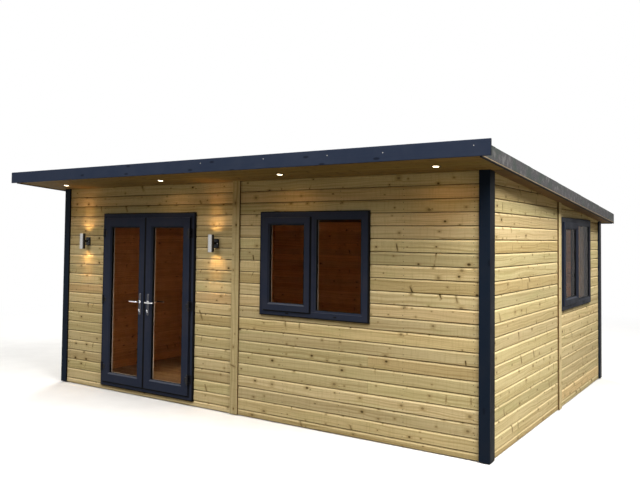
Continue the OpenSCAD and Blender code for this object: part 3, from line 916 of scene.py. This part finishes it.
def upright_board(shape, side, start):
    """A trim board that stands on end, up to the sloping soffit."""
    def place(top, along, out):
        spot = side.at(along, out, ground_z)
        return (spot.x, spot.y, soffit_z(spot.y) if top else ground_z)

    shape.add(prism(chamfered(start, start + TRIM_W, 0, TRIM_T, TRIM_ARRIS), 0, 1, place), random.random())


def is_long_edge(board, face):
    """Tells whether a face is one of the narrow long sides of a trim board."""
    corners = [board.data.vertices[i].co for i in face.vertices]
    spans = [max(c[axis] for c in corners) - min(c[axis] for c in corners) for axis in (0, 1)]
    return face.normal.z ** 2 < 0.1 and max(spans) < TRIM_T and min(spans) < 0.0001


def build_trims():
    """Painted boards round the corners, and plain ones over the joints between the wall panels, with painted
    shade on the plain ones' long edges.
    """
    for name, axis, pair, starts in (("front_and_rear", 0, (FRONT, REAR), (-trim_edge, trim_edge - TRIM_W)),
                                     ("sides", 1, (LEFT, RIGHT), (front_face, rear_face - TRIM_W))):
        trims, strips = Shape(2, axis), Shape(2, axis)
        for side in pair:
            for start in starts:
                upright_board(trims, side, start)
            upright_board(strips, side, side.strip)
        piece(f"corner_trims_{name}", trims, TRIM, replaces=["corner_trims"])
        boards = piece(f"cover_strips_{name}", strips, PINE, replaces=["cover_strips"])
        # Painted shade: the long edges of the cover strips are dark.
        paint_on_faces(boards, EDGE_SHADE, lambda face: is_long_edge(boards, face))


def matched_boards(start, end, low, high, pitch, thick, place, axes, joints=()):
    """Boards with V joints from low to high, cut to length at butt joints that differ from row to row."""
    shape = Shape(*axes)
    for row in range(math.ceil((high - low) / pitch)):
        bottom = low + row * pitch
        top = min(bottom + pitch, high)
        outline = [(-VEE, bottom), (-thick, bottom), (-thick, top - LAP_PLAY), (-VEE, top - LAP_PLAY),
                   (0, top - VEE), (0, bottom + VEE)]
        cuts = [start] + ([joints[row % len(joints)]] if joints else []) + [end]
        for first, last in zip(cuts, cuts[1:]):
            shape.add(prism(outline, first + BUTT_GAP / 2, last - BUTT_GAP / 2, place), random.random())
    return shape


def build_wall(side):
    """The core of a wall and its lining, both with painted shade: a dark core, and dark cut ends on the
    lining.
    """
    front_nodes = ["front_wall_left", "front_wall_over_door", "front_wall_right"]
    room_face = BOARD_T + side.wall_t
    room = (wall_low.y, wall_high.y) if side.axis else (-room_x, room_x)
    span = room if side.axis else (side.start + BOARD_T, side.end - BOARD_T)
    core = side.space(span, (-BOARD_T, LINING_T - room_face), (floor_high.z, high_corner.z))
    # Painted shade: the core is dark wood, for the shade in the reveals.
    piece(f"{side.name}_wall_panel", Shape(side.axis, 2).add(core), SHADED,
          replaces=front_nodes if side is FRONT else [f"{side.name}_wall"], cut=side.cutters())
    lining = matched_boards(*room, floor_high.z, high_corner.z, LINING_PITCH, LINING_T,
                            lambda along, out, z: side.at(along, -room_face - out, z), (side.axis, 2))
    boards = piece(f"{side.name}_wall_lining", lining, LINING, cut=side.cutters())
    # Painted shade on the lining's cut ends, at the openings and the corners.
    paint_on_faces(boards, SHADED, lambda face: abs(face.normal[side.axis]) > 0.9)


def build_inside():
    """Wall panels with their lining, the floor, and the soffit that is also the ceiling."""
    for side in SIDES:
        build_wall(side)
    deck = matched_boards(floor_low.x, floor_high.x, floor_low.y, floor_high.y, FLOOR_PITCH,
                          floor_high.z - floor_low.z, lambda a, out, v: (a, v, floor_high.z + out), (0, 1),
                          FLOOR_JOINTS)
    piece("floor_deck_boards", deck, FLOORING, replaces=["floor_deck"])

    def under_roof(along, out, v):
        y = panel_low.y + v * math.cos(roof_angle)
        return (along, y - out * math.sin(roof_angle), soffit_z(y) - out * math.cos(roof_angle))

    length = (panel_high.y - panel_low.y) / math.cos(roof_angle)
    soffit = matched_boards(panel_low.x, panel_high.x, 0, length, SOFFIT_PITCH, SOFFIT_T, under_roof, (0, 1),
                            SOFFIT_JOINTS)
    # Painted shade: the soffit boards take the darker copy of the wood.
    piece("soffit_boards", soffit, SHADED_SOFFIT, replaces=["roof_panel"])
    ends = [(panel_low.y, SOFFIT_T), (panel_high.y, SOFFIT_T), (panel_high.y, ROOF_T), (panel_low.y, ROOF_T)]
    outline = [(y, soffit_z(y) + up) for y, up in ends]
    core = Shape().add(prism(outline, panel_low.x, panel_high.x, here))
    piece("roof_panel_core", core, CORE)


def build_bearers():
    shape = Shape(1, 0)
    low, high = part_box("floor_bearers")
    width = high.z - low.z
    pitch = (high.x - low.x - width) / (BEARERS - 1)
    for i in range(BEARERS):
        x = low.x + i * pitch
        outline = chamfered(x, x + width, low.z, high.z, ARRIS)
        shape.add(prism(outline, low.y, high.y, lambda a, u, v: (u, a, v)), random.random())
    piece("floor_bearer_timbers", shape, BEARER, replaces=["floor_bearers"])


def build_felt():
    """Felt strips that lap down the slope, with wavy lower edges and a row of nails above each."""
    strips, nails = Shape(), Shape()
    span = felt_high.x - felt_low.x
    lower, number = felt_high.y, 0
    while lower > felt_low.y + FELT_LAP:
        upper = max(lower - FELT_WIDTH, felt_low.y)
        lift = FELT_SHEET if number else 0.0
        rows = []
        for i in range(FELT_STEPS + 1):
            x = felt_low.x + span * i / FELT_STEPS
            wave = sum(high * math.sin(turns * x + number * shift) for high, turns, shift in FELT_WAVES)
            edge = lower - (abs(wave) if number else 0)
            low, high = soffit_z(edge) + ROOF_T + lift, soffit_z(upper) + ROOF_T
            rows.append([(x, edge, low), (x, edge, low + FELT_SHEET), (x, upper, high + FELT_SHEET),
                         (x, upper, high)])
        strips.add(loft(rows))
        y = lower - FELT_NAIL_UP
        for i in range(1, int(span / FELT_NAIL_PITCH)):
            centre = (felt_low.x + i * FELT_NAIL_PITCH, y, soffit_z(y) + ROOF_T + lift + FELT_SHEET)
            nail(nails, centre, (0, 0, 1), FELT_NAIL_R)
        lower = upper + FELT_LAP if upper > felt_low.y else felt_low.y
        number += 1
    piece("roof_felt_strips", strips, FELT, replaces=["roof_felt"])
    piece("roof_felt_nails", nails, NAIL)


def build_side_fascias():
    """At each side a board under felt, with a batten and a drip edge below, and a dark strip of painted shade
    on the soffit.
    """
    for name, sign in (("left", -1), ("right", 1)):
        low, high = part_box(f"{name}_fascia")
        inner, outer = sorted((abs(low.x), abs(high.x)))
        skin = outer - FELT_SKIN
        # Each part's sides, its two heights over the soffit, and its arris
        for part, material, x0, x1, bottom, top, arris in (
                ("fascia_board", SHADED_SOFFIT, inner, skin, -SIDE_FASCIA_DROP, ROOF_T, 0.001),
                ("fascia_batten", CORE, skin, outer, BATTEN_LOW, FELT_EDGE, 0.0005),
                ("fascia_drip", RUBBER, inner + DRIP_INSET, outer, -DRIP_LOW, BATTEN_LOW, 0.001),
                # Painted shade: a dark strip under the side overhang.
                ("soffit_shade_strip", SHADED, side_face + TRIM_T + STRIP_PLAY, inner, -SHADE_STRIP_T, 0.0, 0.0005),
                ("fascia_felt", FELT, skin, outer, FELT_EDGE, ROOF_T, 0.0008)):
            start, end = (clad_low.y, clad_high.y) if material is SHADED else (low.y, high.y)
            solid = prism(chamfered(x0, x1, bottom, top, arris), start, end,
                          lambda a, u, v: (sign * u, a, soffit_z(a) + v))
            piece(f"{name}_{part}", Shape(1, 2).add(solid, FASCIA_TONES[name]), material,
                  replaces=[f"{name}_fascia"] if material is SHADED_SOFFIT else ())


def build_painted_fascias():
    """The painted boards front and rear. The front one's upper nails are bright on the right half."""
    low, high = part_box("front_fascia")
    outline = chamfered(low.y, high.y, low.z, high.z, FASCIA_ARRIS)
    board = Shape().add(prism(outline, low.x, high.x, here), FASCIA_TONES["front"])
    piece("front_fascia_board", board, FASCIA, replaces=["front_fascia"])
    bright, painted = Shape(), Shape()
    for x in FASCIA_NAILS:
        upper = high.z - FASCIA_NAIL_DOWN + random.uniform(-FASCIA_SCATTER[1], FASCIA_SCATTER[1])
        for row, z in ((bright if x > 0 else painted, upper), (painted, low.z + FASCIA_NAIL_UP)):
            place = (x + random.uniform(-FASCIA_SCATTER[0], FASCIA_SCATTER[0]), low.y, z)
            nail(row, place, (0, -1, 0), FASCIA_NAIL_R)
    piece("front_fascia_nails", bright, BRIGHT_NAIL)
    piece("front_fascia_painted_nails", painted, FASCIA)
    low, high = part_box("rear_fascia")
    outline = chamfered(low.y, high.y, low.z - soffit_z(high.y), ROOF_T, FASCIA_ARRIS)
    solid = prism(outline, low.x, high.x, lambda a, u, v: (a, u, soffit_z(u) + v))
    piece("rear_fascia_board", Shape().add(solid, FASCIA_TONES["rear"]), FASCIA, replaces=["rear_fascia"])


def plastic(name, solid, body="root", replaces=()):
    return piece(name, Shape().add(solid), FOIL, body, replaces, bevel=PLASTIC_BEVEL)


def outer_frame(name, node, outer, face, back, place):
    """The fixed frame of a window or of the doors."""
    steps = rims(outer, (0, back), (0, ARRIS), (ARRIS, 0), (face - ARRIS, 0), (face, ARRIS), (face, back))
    plastic(f"{name}_outer_frame", ring(steps, place), replaces=[node])


def rubber_ring(name, steps, place, body="root"):
    piece(name, Shape().add(ring(steps, place)), RUBBER, body)


def gasket(name, rect, front, back, place, body="root"):
    """A black seal round the glass, just inside the profile."""
    steps = rims(rect, (-GASKET_BED, front), (GASKET_W * 0.5, front), (GASKET_W, (front + back) / 2),
                 (GASKET_W, back), (-GASKET_BED, back))
    rubber_ring(name, steps, place, body)


def wall_seal(name, outer, place):
    """A black strip up the edge of a frame, with its bead on the boards."""
    boards = front_face - window_low.y
    steps = rims(outer, (-SEAL_W, boards + SEAL_BED), (-SEAL_W * 0.8, boards - SEAL_H * 0.4),
                 (-SEAL_EDGE, boards - SEAL_H), (-SEAL_EDGE, SEAL_TOP + SEAL_BED),
                 (-SEAL_EDGE * 0.4, SEAL_TOP), (0, SEAL_TOP), (0, boards + SEAL_BED))
    rubber_ring(f"{name}_wall_seal", steps, place)


def glazed_frame(name, flange, seat, edge, face, proud, back, seal, place, body="root"):
    """A sash or leaf with its seals: a flange over the frame, the edge of its body, a slope to the glass."""
    sight = inset(flange, face)
    steps = [*rims(flange, (ARRIS, -proud), (0, ARRIS - proud), (0, -seat)), *edge,
             *rims(sight, (-GLAZING_CHAMFER, back), (0, GLASS_T + GLAZING_LIP), (0, GLASS_T),
                   (-GLAZING_POCKET, GLASS_T), (-GLAZING_POCKET, 0), (0, 0), (0, -GLAZING_LIP),
                   (-GLAZING_CHAMFER, -proud))]
    plastic(f"{name}_profile", ring(steps, place), body, [name])
    gasket(f"{name}_gasket", sight, -GLAZING_LIP, 0, place, body)
    rubber_ring(f"{name}_seal", rims(flange, *seal), place, body)
    return sight


def weather_strips(name, edges, place, body="root", top=-STRIP_T, bed=STRIP_BED):
    """Black strips along the edges of a sash, leaf or frame, each given by two corners of its face. They are
    painted shade of the gaps beside them.
    """
    strips = Shape()
    for (x0, z0), (x1, z1) in edges:
        strips.add(block((x0, top, z0), (x1, bed, z1), place))
    piece(name, strips, RUBBER, body, bevel=STRIP_BEVEL)


def sealed_unit(name, sight, depth, place, node, body="root", inner_seal=SPACER):
    """Two panes with a spacer bar between them and a pale or black seal behind them."""
    panes, spacers, tapes = Shape(), Shape(), Shape()
    x0, z0, x1, z1 = inset(sight, -GLASS_COVER)
    back = depth + GLASS_T
    for front in (depth, back - PANE_T):
        panes.add(block((x0, front, z0), (x1, front + PANE_T, z1), place))
    bars = ((spacers, SPACER_COVER, depth + PANE_T + PANE_PLAY, back - PANE_T - PANE_PLAY),
            (tapes, TAPE_COVER, back + PANE_PLAY, back + TAPE_T))
    for shape, cover, d0, d1 in bars:
        shape.add(ring(rims(sight, (-cover, d0), (SPACER_SHOW, d0), (SPACER_SHOW, d1), (-cover, d1)), place))
    piece(f"{name}_panes", panes, GLASS, body, replaces=[node])
    piece(f"{name}_spacers", spacers, RUBBER, body)
    piece(f"{name}_inner_seals", tapes, inner_seal, body)


def build_fixed_light(name, light, place):
    """Fixed glass with a sloping bead in front of it and one behind it."""
    sight = inset(light, BEAD)
    front, back = FIXED_GLASS_Y, FIXED_GLASS_Y + GLASS_T
    steps = rims(light, (0, BEAD_FRONT), (BEAD, front - GASKET_W), (BEAD, front), (0, front))
    plastic(f"{name}_fixed_bead", ring(steps, place))
    steps = rims(light, (0, back), (BEAD, back), (BEAD, back + BEAD_T), (0, FRAME_DEPTH - BEAD_BACK))
    plastic(f"{name}_inner_bead", ring(steps, place))
    gasket(f"{name}_fixed_gasket", sight, front - GASKET_W, front, place)
    return sight


def build_sash(name, flange, core, place):
    """A sash, with black strips of painted shade at its foot and right edge."""
    back = FRAME_DEPTH - SASH_PROUD
    sight = glazed_frame(f"{name}_sash", flange, SASH_SEAT, [(core, -SASH_SEAT), (core, back)], SASH_FACE,
                         SASH_PROUD, back, SASH_SEAL, place)
    x0, z0, x1, z1 = flange
    # Painted shade: black strips under the sash and beside its right edge.
    edges = [((x0, z0 - STRIP_W), (x1 + STRIP_W, z0)), ((x1, z0), (x1 + STRIP_W, z1))]
    weather_strips(f"{name}_weather_strips", edges, place)
    return sight


def build_window(name, width, height, place, inner_seal):
    """A frame with an upright, a sash in its left light and fixed glass in its right one."""
    outer = (0, 0, width, height)
    inner = inset(outer, WINDOW_FACE)
    outer_frame(name, f"{name}_frame", outer, WINDOW_FACE, FRAME_DEPTH, place)
    middle = width / 2
    left, right = middle - MULLION / 2, middle + MULLION / 2
    outline = chamfered(left, right, 0, FRAME_DEPTH, ARRIS)
    plastic(f"{name}_upright", prism(outline, inner[1], inner[3], lambda a, u, v: place(u, v, a)))
    fixed_sight = build_fixed_light(name, (right, *inner[1:]), place)
    start = WINDOW_FACE + SASH_PLAY
    sash_sight = build_sash(name, (SASH_SHOW, SASH_SHOW, middle - SASH_FROM_MIDDLE, height - SASH_SHOW),
                            (start, start, left - SASH_PLAY, height - start), place)
    wall_seal(name, outer, place)
    drains = Shape()
    for share in DRAIN_SHARES:
        drains.add(block(*DRAIN_CAP, moved(place, width * share, 0, 0)))
    piece(f"{name}_drain_caps", drains, RUBBER, bevel=DRAIN_BEVEL)
    for part, sight, depth in (("sash", sash_sight, 0), ("fixed", fixed_sight, FIXED_GLASS_Y)):
        sealed_unit(f"{name}_{part}", sight, depth, place, f"{name}_glass", inner_seal=inner_seal)


def build_windows():
    size = window_high - window_low
    build_window("front_window", size.x, size.z, moved(here, *window_low), SPACER)
    size = side_window_high - side_window_low
    build_window("side_window", size.y, size.z, lambda x, depth, z: (
        side_window_high.x - depth, side_window_low.y + x, side_window_low.z + z), RUBBER)


def build_hinge(fixed, moving, place, z0):
    """One hinge: two end knuckles with a plate on the frame, and the middle one with a plate on the leaf."""
    x, y = HINGE_AXIS
    quarter = HINGE_LEN / 4
    low_joint, high_joint = quarter + HINGE_PLAY, HINGE_LEN - quarter - HINGE_PLAY
    axis = moved(place, x, y, z0)
    web = x - HINGE_R + HINGE_WEB

    def knuckle(shape, low, high):
        side, arris = HINGE_R, KNUCKLE_ARRIS
        shape.add(lathe([(0, low), (side - arris, low), (side, low + arris), (side, high - arris),
                         (side - arris, high), (0, high)], HINGE_SIDES, axis))

    def plate(shape, low, high, arris=HINGE_ARRIS):
        outline = chamfered(low[0], high[0], low[1], high[1], arris)
        shape.add(prism(outline, z0 + low[2], z0 + high[2], lambda a, u, v: place(u, v, a)))

    knuckle(fixed, 0, quarter)
    knuckle(fixed, HINGE_LEN - quarter, HINGE_LEN)
    plate(fixed, (HINGE_EDGE, -HINGE_PLATE_T, 0), (web, 0, HINGE_LEN))
    for low in (0, HINGE_LEN - quarter):
        plate(fixed, (x - HINGE_R, y, low), (web, 0, low + quarter), HINGE_WEB_ARRIS)
    for low in HINGE_CAPS_AT:
        fixed.add(lathe(*HINGE_CAP, moved(axis, 0, 0, low)))
    knuckle(moving, low_joint, high_joint)
    plate(moving, (x, -LEAF_PROUD - HINGE_PLATE_T, low_joint),
          (LEAF_SHOW + HINGE_REACH, -LEAF_PROUD, high_joint))


def lever_path():
    """Points and radii of a lever: a neck, a bend, and a bar that thins and turns back at its end."""
    reach, straight = PLATE_T + NECK, LEVER_LEN - LEVER_R - LEVER_HOOK

    def bend(share):
        t = math.pi / 2 * share
        return (-LEVER_BEND * (1 - math.cos(t)), LEVER_BEND * (1 - math.sin(t)) - reach, 0)

    def bar(share):
        return (-LEVER_BEND - (straight - LEVER_BEND) * share, LEVER_LEAN * share ** 3 - reach, 0)

    def hook(share):
        t = math.pi / 2 * share
        return (-straight - LEVER_HOOK * math.sin(t), LEVER_LEAN + LEVER_BACK * (1 - math.cos(t)) - reach, 0)

    path = [(0, -LEVER_START, 0), (0, -PLATE_T - LEVER_ROOT, 0), bend(0)]
    radii = [LEVER_R * LEVER_TAPER[0]] * 3
    for part, steps, first, last in zip((bend, bar, hook), LEVER_STEPS, LEVER_TAPER, LEVER_TAPER[1:]):
        for i in range(1, steps + 1):
            path.append(part(i / steps))
            radii.append(LEVER_R * (first + (last - first) * i / steps))
    return path, radii


def build_handle(plates, locks, keyways, levers, turn):
    """Plate, lock and lever on one face of a leaf. turn places points from the spindle, with -Y in front."""
    rows = []
    for shrink, depth in PLATE_STEPS:
        across, up = (PLATE_W - 2 * shrink) / PLATE_W, (PLATE_H - 2 * shrink) / PLATE_H
        rows.append([turn(u * across, -PLATE_T * depth, v * up + PLATE_H / 2 - PLATE_DROP)
                     for u, v in rounded(PLATE_W, PLATE_H, PLATE_ROUND)])
    plates.add(loft(rows))
    for shape, turned, z in ((locks, ROSE, 0), (locks, LOCK, -LOCK_DROP),
                             *((plates, SCREW_HEAD, z) for z in SCREWS_AT)):
        shape.add(lathe(*turned, facing(turn, 0, -PLATE_T, z)))
    keyhole = moved(turn, 0, -PLATE_T, -LOCK_DROP)
    locks.add(block(*BARREL, keyhole))
    keyways.add(block(*KEYWAY, keyhole))
    levers.add(tube(*lever_path(), turn))


def build_leaf(name, width, height, place):
    """A door leaf with its glass, seals and handles. Its x runs from the hinges to the meeting edge."""
    edge = width / 2 - MEETING_GAP / 2
    flange = (LEAF_SHOW, LEAF_SHOW, edge, height - LEAF_SHOW)
    start = DOOR_FACE + LEAF_GAP
    core = (start, start, edge - MEETING_LIP, height - start)
    core_edge = rims(core, (0, -LEAF_GAP), (0, LEAF_BACK - ARRIS), (ARRIS, LEAF_BACK))
    body = f"leaf_{name}"
    sight = glazed_frame(f"door_leaf_{name}", flange, LEAF_GAP, core_edge, LEAF_STILE, LEAF_PROUD, LEAF_BACK,
                         LEAF_SEAL, place, body)
    # A black lip along the meeting edge, which is also painted shade of the gap between the leaves.
    strip = (edge - STRIP_W, flange[1]), (edge - STRIP_BED, flange[3])
    weather_strips(f"door_leaf_{name}_meeting_strip", [strip], place, body, *MEETING_STRIP)
    sealed_unit(f"door_glass_{name}", sight, 0, place, f"door_glass_{name}", body)
    plates, locks, keyways, levers = Shape(), Shape(), Shape(), Shape()
    for face, out in ((-LEAF_PROUD, -1), (LEAF_BACK, 1)):
        build_handle(plates, locks, keyways, levers,
                     lambda x, y, z: place(edge - BACKSET + x, face + out * -y, LEVER_H + z))
    for part, shape, material in (("backs", plates, DARK_CHROME), ("locks", locks, CHROME)):
        piece(f"door_plates_{name}_{part}", shape, material, body, [f"door_plates_{name}"],
              smooth=True)
    piece(f"door_keyways_{name}", keyways, RUBBER, body)
    piece(f"door_lever_{name}_bars", levers, CHROME, f"lever_{name}", replaces=[f"door_lever_{name}"],
          smooth=True)


def build_doors():
    size = door_high - door_low
    width, height = size.x, size.z
    on_left = moved(here, *door_low)

    def on_right(x, depth, z):
        return (door_high.x - x, door_low.y + depth, door_low.z + z)

    outer = (0, 0, width, height)
    outer_frame("door", "door_frame", outer, DOOR_FACE, size.y, on_left)
    wall_seal("door", outer, on_left)
    # Painted shade: black strips on the frame beside both leaves and under them.
    low, high = LEAF_SHOW - LEAF_GAP - STRIP_W, LEAF_SHOW - LEAF_GAP
    edges = [((low, low), (high, height - low)), ((width - high, low), (width - low, height - low)),
             ((high, low), (width - high, high))]
    weather_strips("door_weather_strips", edges, on_left)
    fixed = Shape()
    leaves = {"left": on_left, "right": on_right}
    for name, place in leaves.items():
        build_leaf(name, width, height, place)
    for name, place in leaves.items():
        moving = Shape()
        for middle in (HINGE_END, height / 2, height - HINGE_END):
            build_hinge(fixed, moving, place, middle - HINGE_LEN / 2)
        piece(f"door_hinges_{name}_knuckles", moving, BLACK, f"leaf_{name}", replaces=[f"door_hinges_{name}"],
              smooth=True)
    piece("door_hinges_frame_knuckles", fixed, BLACK, replaces=["door_hinges_frame"], smooth=True)


def add_lamp(kind, name, place, direction, power, colour, **settings):
    data = bpy.data.lights.new(name, kind)
    for setting, value in {"energy": power, "color": colour, **settings}.items():
        setattr(data, setting, value)
    lamp = link(bpy.data.objects.new(name, data))
    lamp.location = place
    lamp.rotation_euler = Vector(direction).to_track_quat("-Z", "Y").to_euler()


def glow(name, place, upward, power, angle, colour):
    """The light of one lamp, brightest straight up or down."""
    add_lamp("SPOT", name, place, (0, 0, upward), power, colour, spot_size=math.radians(angle),
             spot_blend=1.0, shadow_soft_size=GLOW_SIZE)


def build_wall_light(name, x, middle, half):
    """A steel tube that shines up and down, on an arm from a base."""
    metal, lens, bracket = Shape(), Shape(), Shape()
    axis = moved(here, x, front_face - LAMP_STAND, middle)
    upper = [(radius, half + z) for radius, z in LAMP_END]
    metal.add(lathe([(radius, -z) for radius, z in upper[::-1]] + upper, LAMP_SIDES, axis))
    bracket.add(lathe(*LAMP_ARM, facing(here, x, front_face, middle)))
    bracket.add(prism(rounded(BASE_W, BASE_H, BASE_ROUND), front_face, front_face - BASE_T,
                      lambda a, u, v: (x + u, a, middle + v)))
    piece(f"{name}_bracket", bracket, BLACK, replaces=[name], bevel=BRACKET_BEVEL)
    for side in (-1, 1):
        metal.add(lathe(*LAMP_CAP, facing(here, x + side * BASE_SCREW_X, front_face, middle)))
        lens.add(lathe(*LAMP_LENS, lambda px, py, pz: axis(px, py, side * (half + pz))))
    body = piece(f"{name}_body", metal, STEEL, replaces=[name], smooth=True)
    # Painted reflection: the tube's faces turned more than LAMP_FRONT from the front are dark steel, as if
    # they mirrored dark surroundings.
    paint_on_faces(body, DARK_STEEL, lambda face: face.normal.y > -math.cos(LAMP_FRONT)
                and math.hypot(face.center.x - x, face.center.y - front_face + LAMP_STAND) > LAMP_BORE)
    piece(f"{name}_lenses", lens, LENS, smooth=True)
    for way, end in (("down", -1), ("up", 1)):
        place = (x, front_face - GLOW_STAND, middle + end * (half + GLOW_GAP))
        for kind, *light in LAMP_LIGHTS:
            glow(f"{name}_{way}{kind}", place, end, *light)


def build_downlights():
    """Round lights in the soffit, tilted with it."""
    collars, lenses = Shape(), Shape()
    low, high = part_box("downlights")
    y = (low.y + high.y) / 2
    first, last = low.x + DOWNLIGHT_R, high.x - DOWNLIGHT_R
    tilt = Matrix.Rotation(-roof_angle, 3, "X")
    for i in range(DOWNLIGHTS):
        centre = Vector((first + (last - first) * i / (DOWNLIGHTS - 1), y, soffit_z(y)))
        for shape, turned in ((collars, DOWNLIGHT_RIM), (lenses, DOWNLIGHT_LENS)):
            shape.add(lathe(*turned, lambda px, py, pz: centre + tilt @ Vector((px, py, pz))))
        glow(f"downlight_{i + 1}", centre - Vector((0, 0, DOWN_LIGHT_GAP)), -1, *DOWN_LIGHT)
    piece("downlight_rims", collars, DARK_STEEL, replaces=["downlights"], smooth=True)
    piece("downlight_lenses", lenses, LENS, smooth=True)


def build_camera():
    data = bpy.data.cameras.new("camera")
    data.sensor_width = SENSOR_MM
    data.lens = CAMERA_LENS_MM
    data.shift_x = SHIFT_X
    data.shift_y = SHIFT_Y
    camera = link(bpy.data.objects.new("camera", data))
    camera.matrix_world = Matrix.Translation(CAMERA_PLACE)
    for axis, turn in (("Z", CAMERA_YAW), ("X", math.pi / 2 + CAMERA_PITCH), ("Z", CAMERA_ROLL)):
        camera.matrix_world = camera.matrix_world @ Matrix.Rotation(turn, 4, axis)
    bpy.context.scene.camera = camera


def build_floor():
    """A pale floor that turns white far out. It looks pale and reflects little light onto the building."""
    corners = [(-FLOOR_REACH, -FLOOR_REACH), (FLOOR_REACH, -FLOOR_REACH), (FLOOR_REACH, FLOOR_REACH),
               (-FLOOR_REACH, FLOOR_REACH)]
    floor = Shape().add(([(x, y, FLOOR_Z) for x, y in corners], [[0, 1, 2, 3]])).object("floor")
    n = new_material("pale_floor")
    fleck = n.step(n.noise(n.object_place(), 3.0, 3.0), 0.3, 0.7)
    pale = n.mix(fleck, (0.80, 0.80, 0.80), (0.84, 0.84, 0.84))
    seen = n.seen_directly()
    near = n.shader(n.mix(seen, (0.15, 0.125, 0.08), pale), 0.9)
    far = n.wire("VectorMath", {0: n.object_place()}, "Value", operation="LENGTH")
    white = n.wire("Emission", {"Color": (1, 1, 1), "Strength": 1.0})
    material = n.finish(n.wire("MixShader", {0: seen * n.step(far, *FLOOR_FADE), 1: near, 2: white}))
    floor.data.materials.append(material)


def build_sky():
    """Surroundings that look white, while their light comes from overhead."""
    n = Nodes(bpy.data.worlds.new("world"))
    bpy.context.scene.world = n.owner
    height = n.split(n.wire("TexCoord", None, "Generated"))[2]
    sky = n.step(height, 0.30, 0.80, 0.45, 0.03)
    strength = n.wire("Mix", {0: n.seen_directly(), 2: sky, 3: 1.0}, data_type="FLOAT")
    n.finish(n.wire("Background", {"Color": (1, 1, 1), "Strength": strength}), "OutputWorld")


build_cladding()
build_board_nails()
build_trims()
build_inside()
build_bearers()
build_felt()
build_side_fascias()
build_painted_fascias()
build_windows()
build_doors()
for light in ("wall_light_left", "wall_light_right"):
    light_low, light_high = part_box(light)
    light_middle = (light_low + light_high) / 2
    build_wall_light(light, light_middle.x, light_middle.z, (light_high.z - light_low.z) / 2)
build_downlights()
build_camera()
build_floor()
build_sky()
for name, (place, power) in LAMPS.items():
    add_lamp("AREA", name, place, LIT_POINT - Vector(place), power, DAYLIGHT, shape="DISK", size=LAMP_SIZE)
bpy.context.scene.view_settings.view_transform = "Standard"
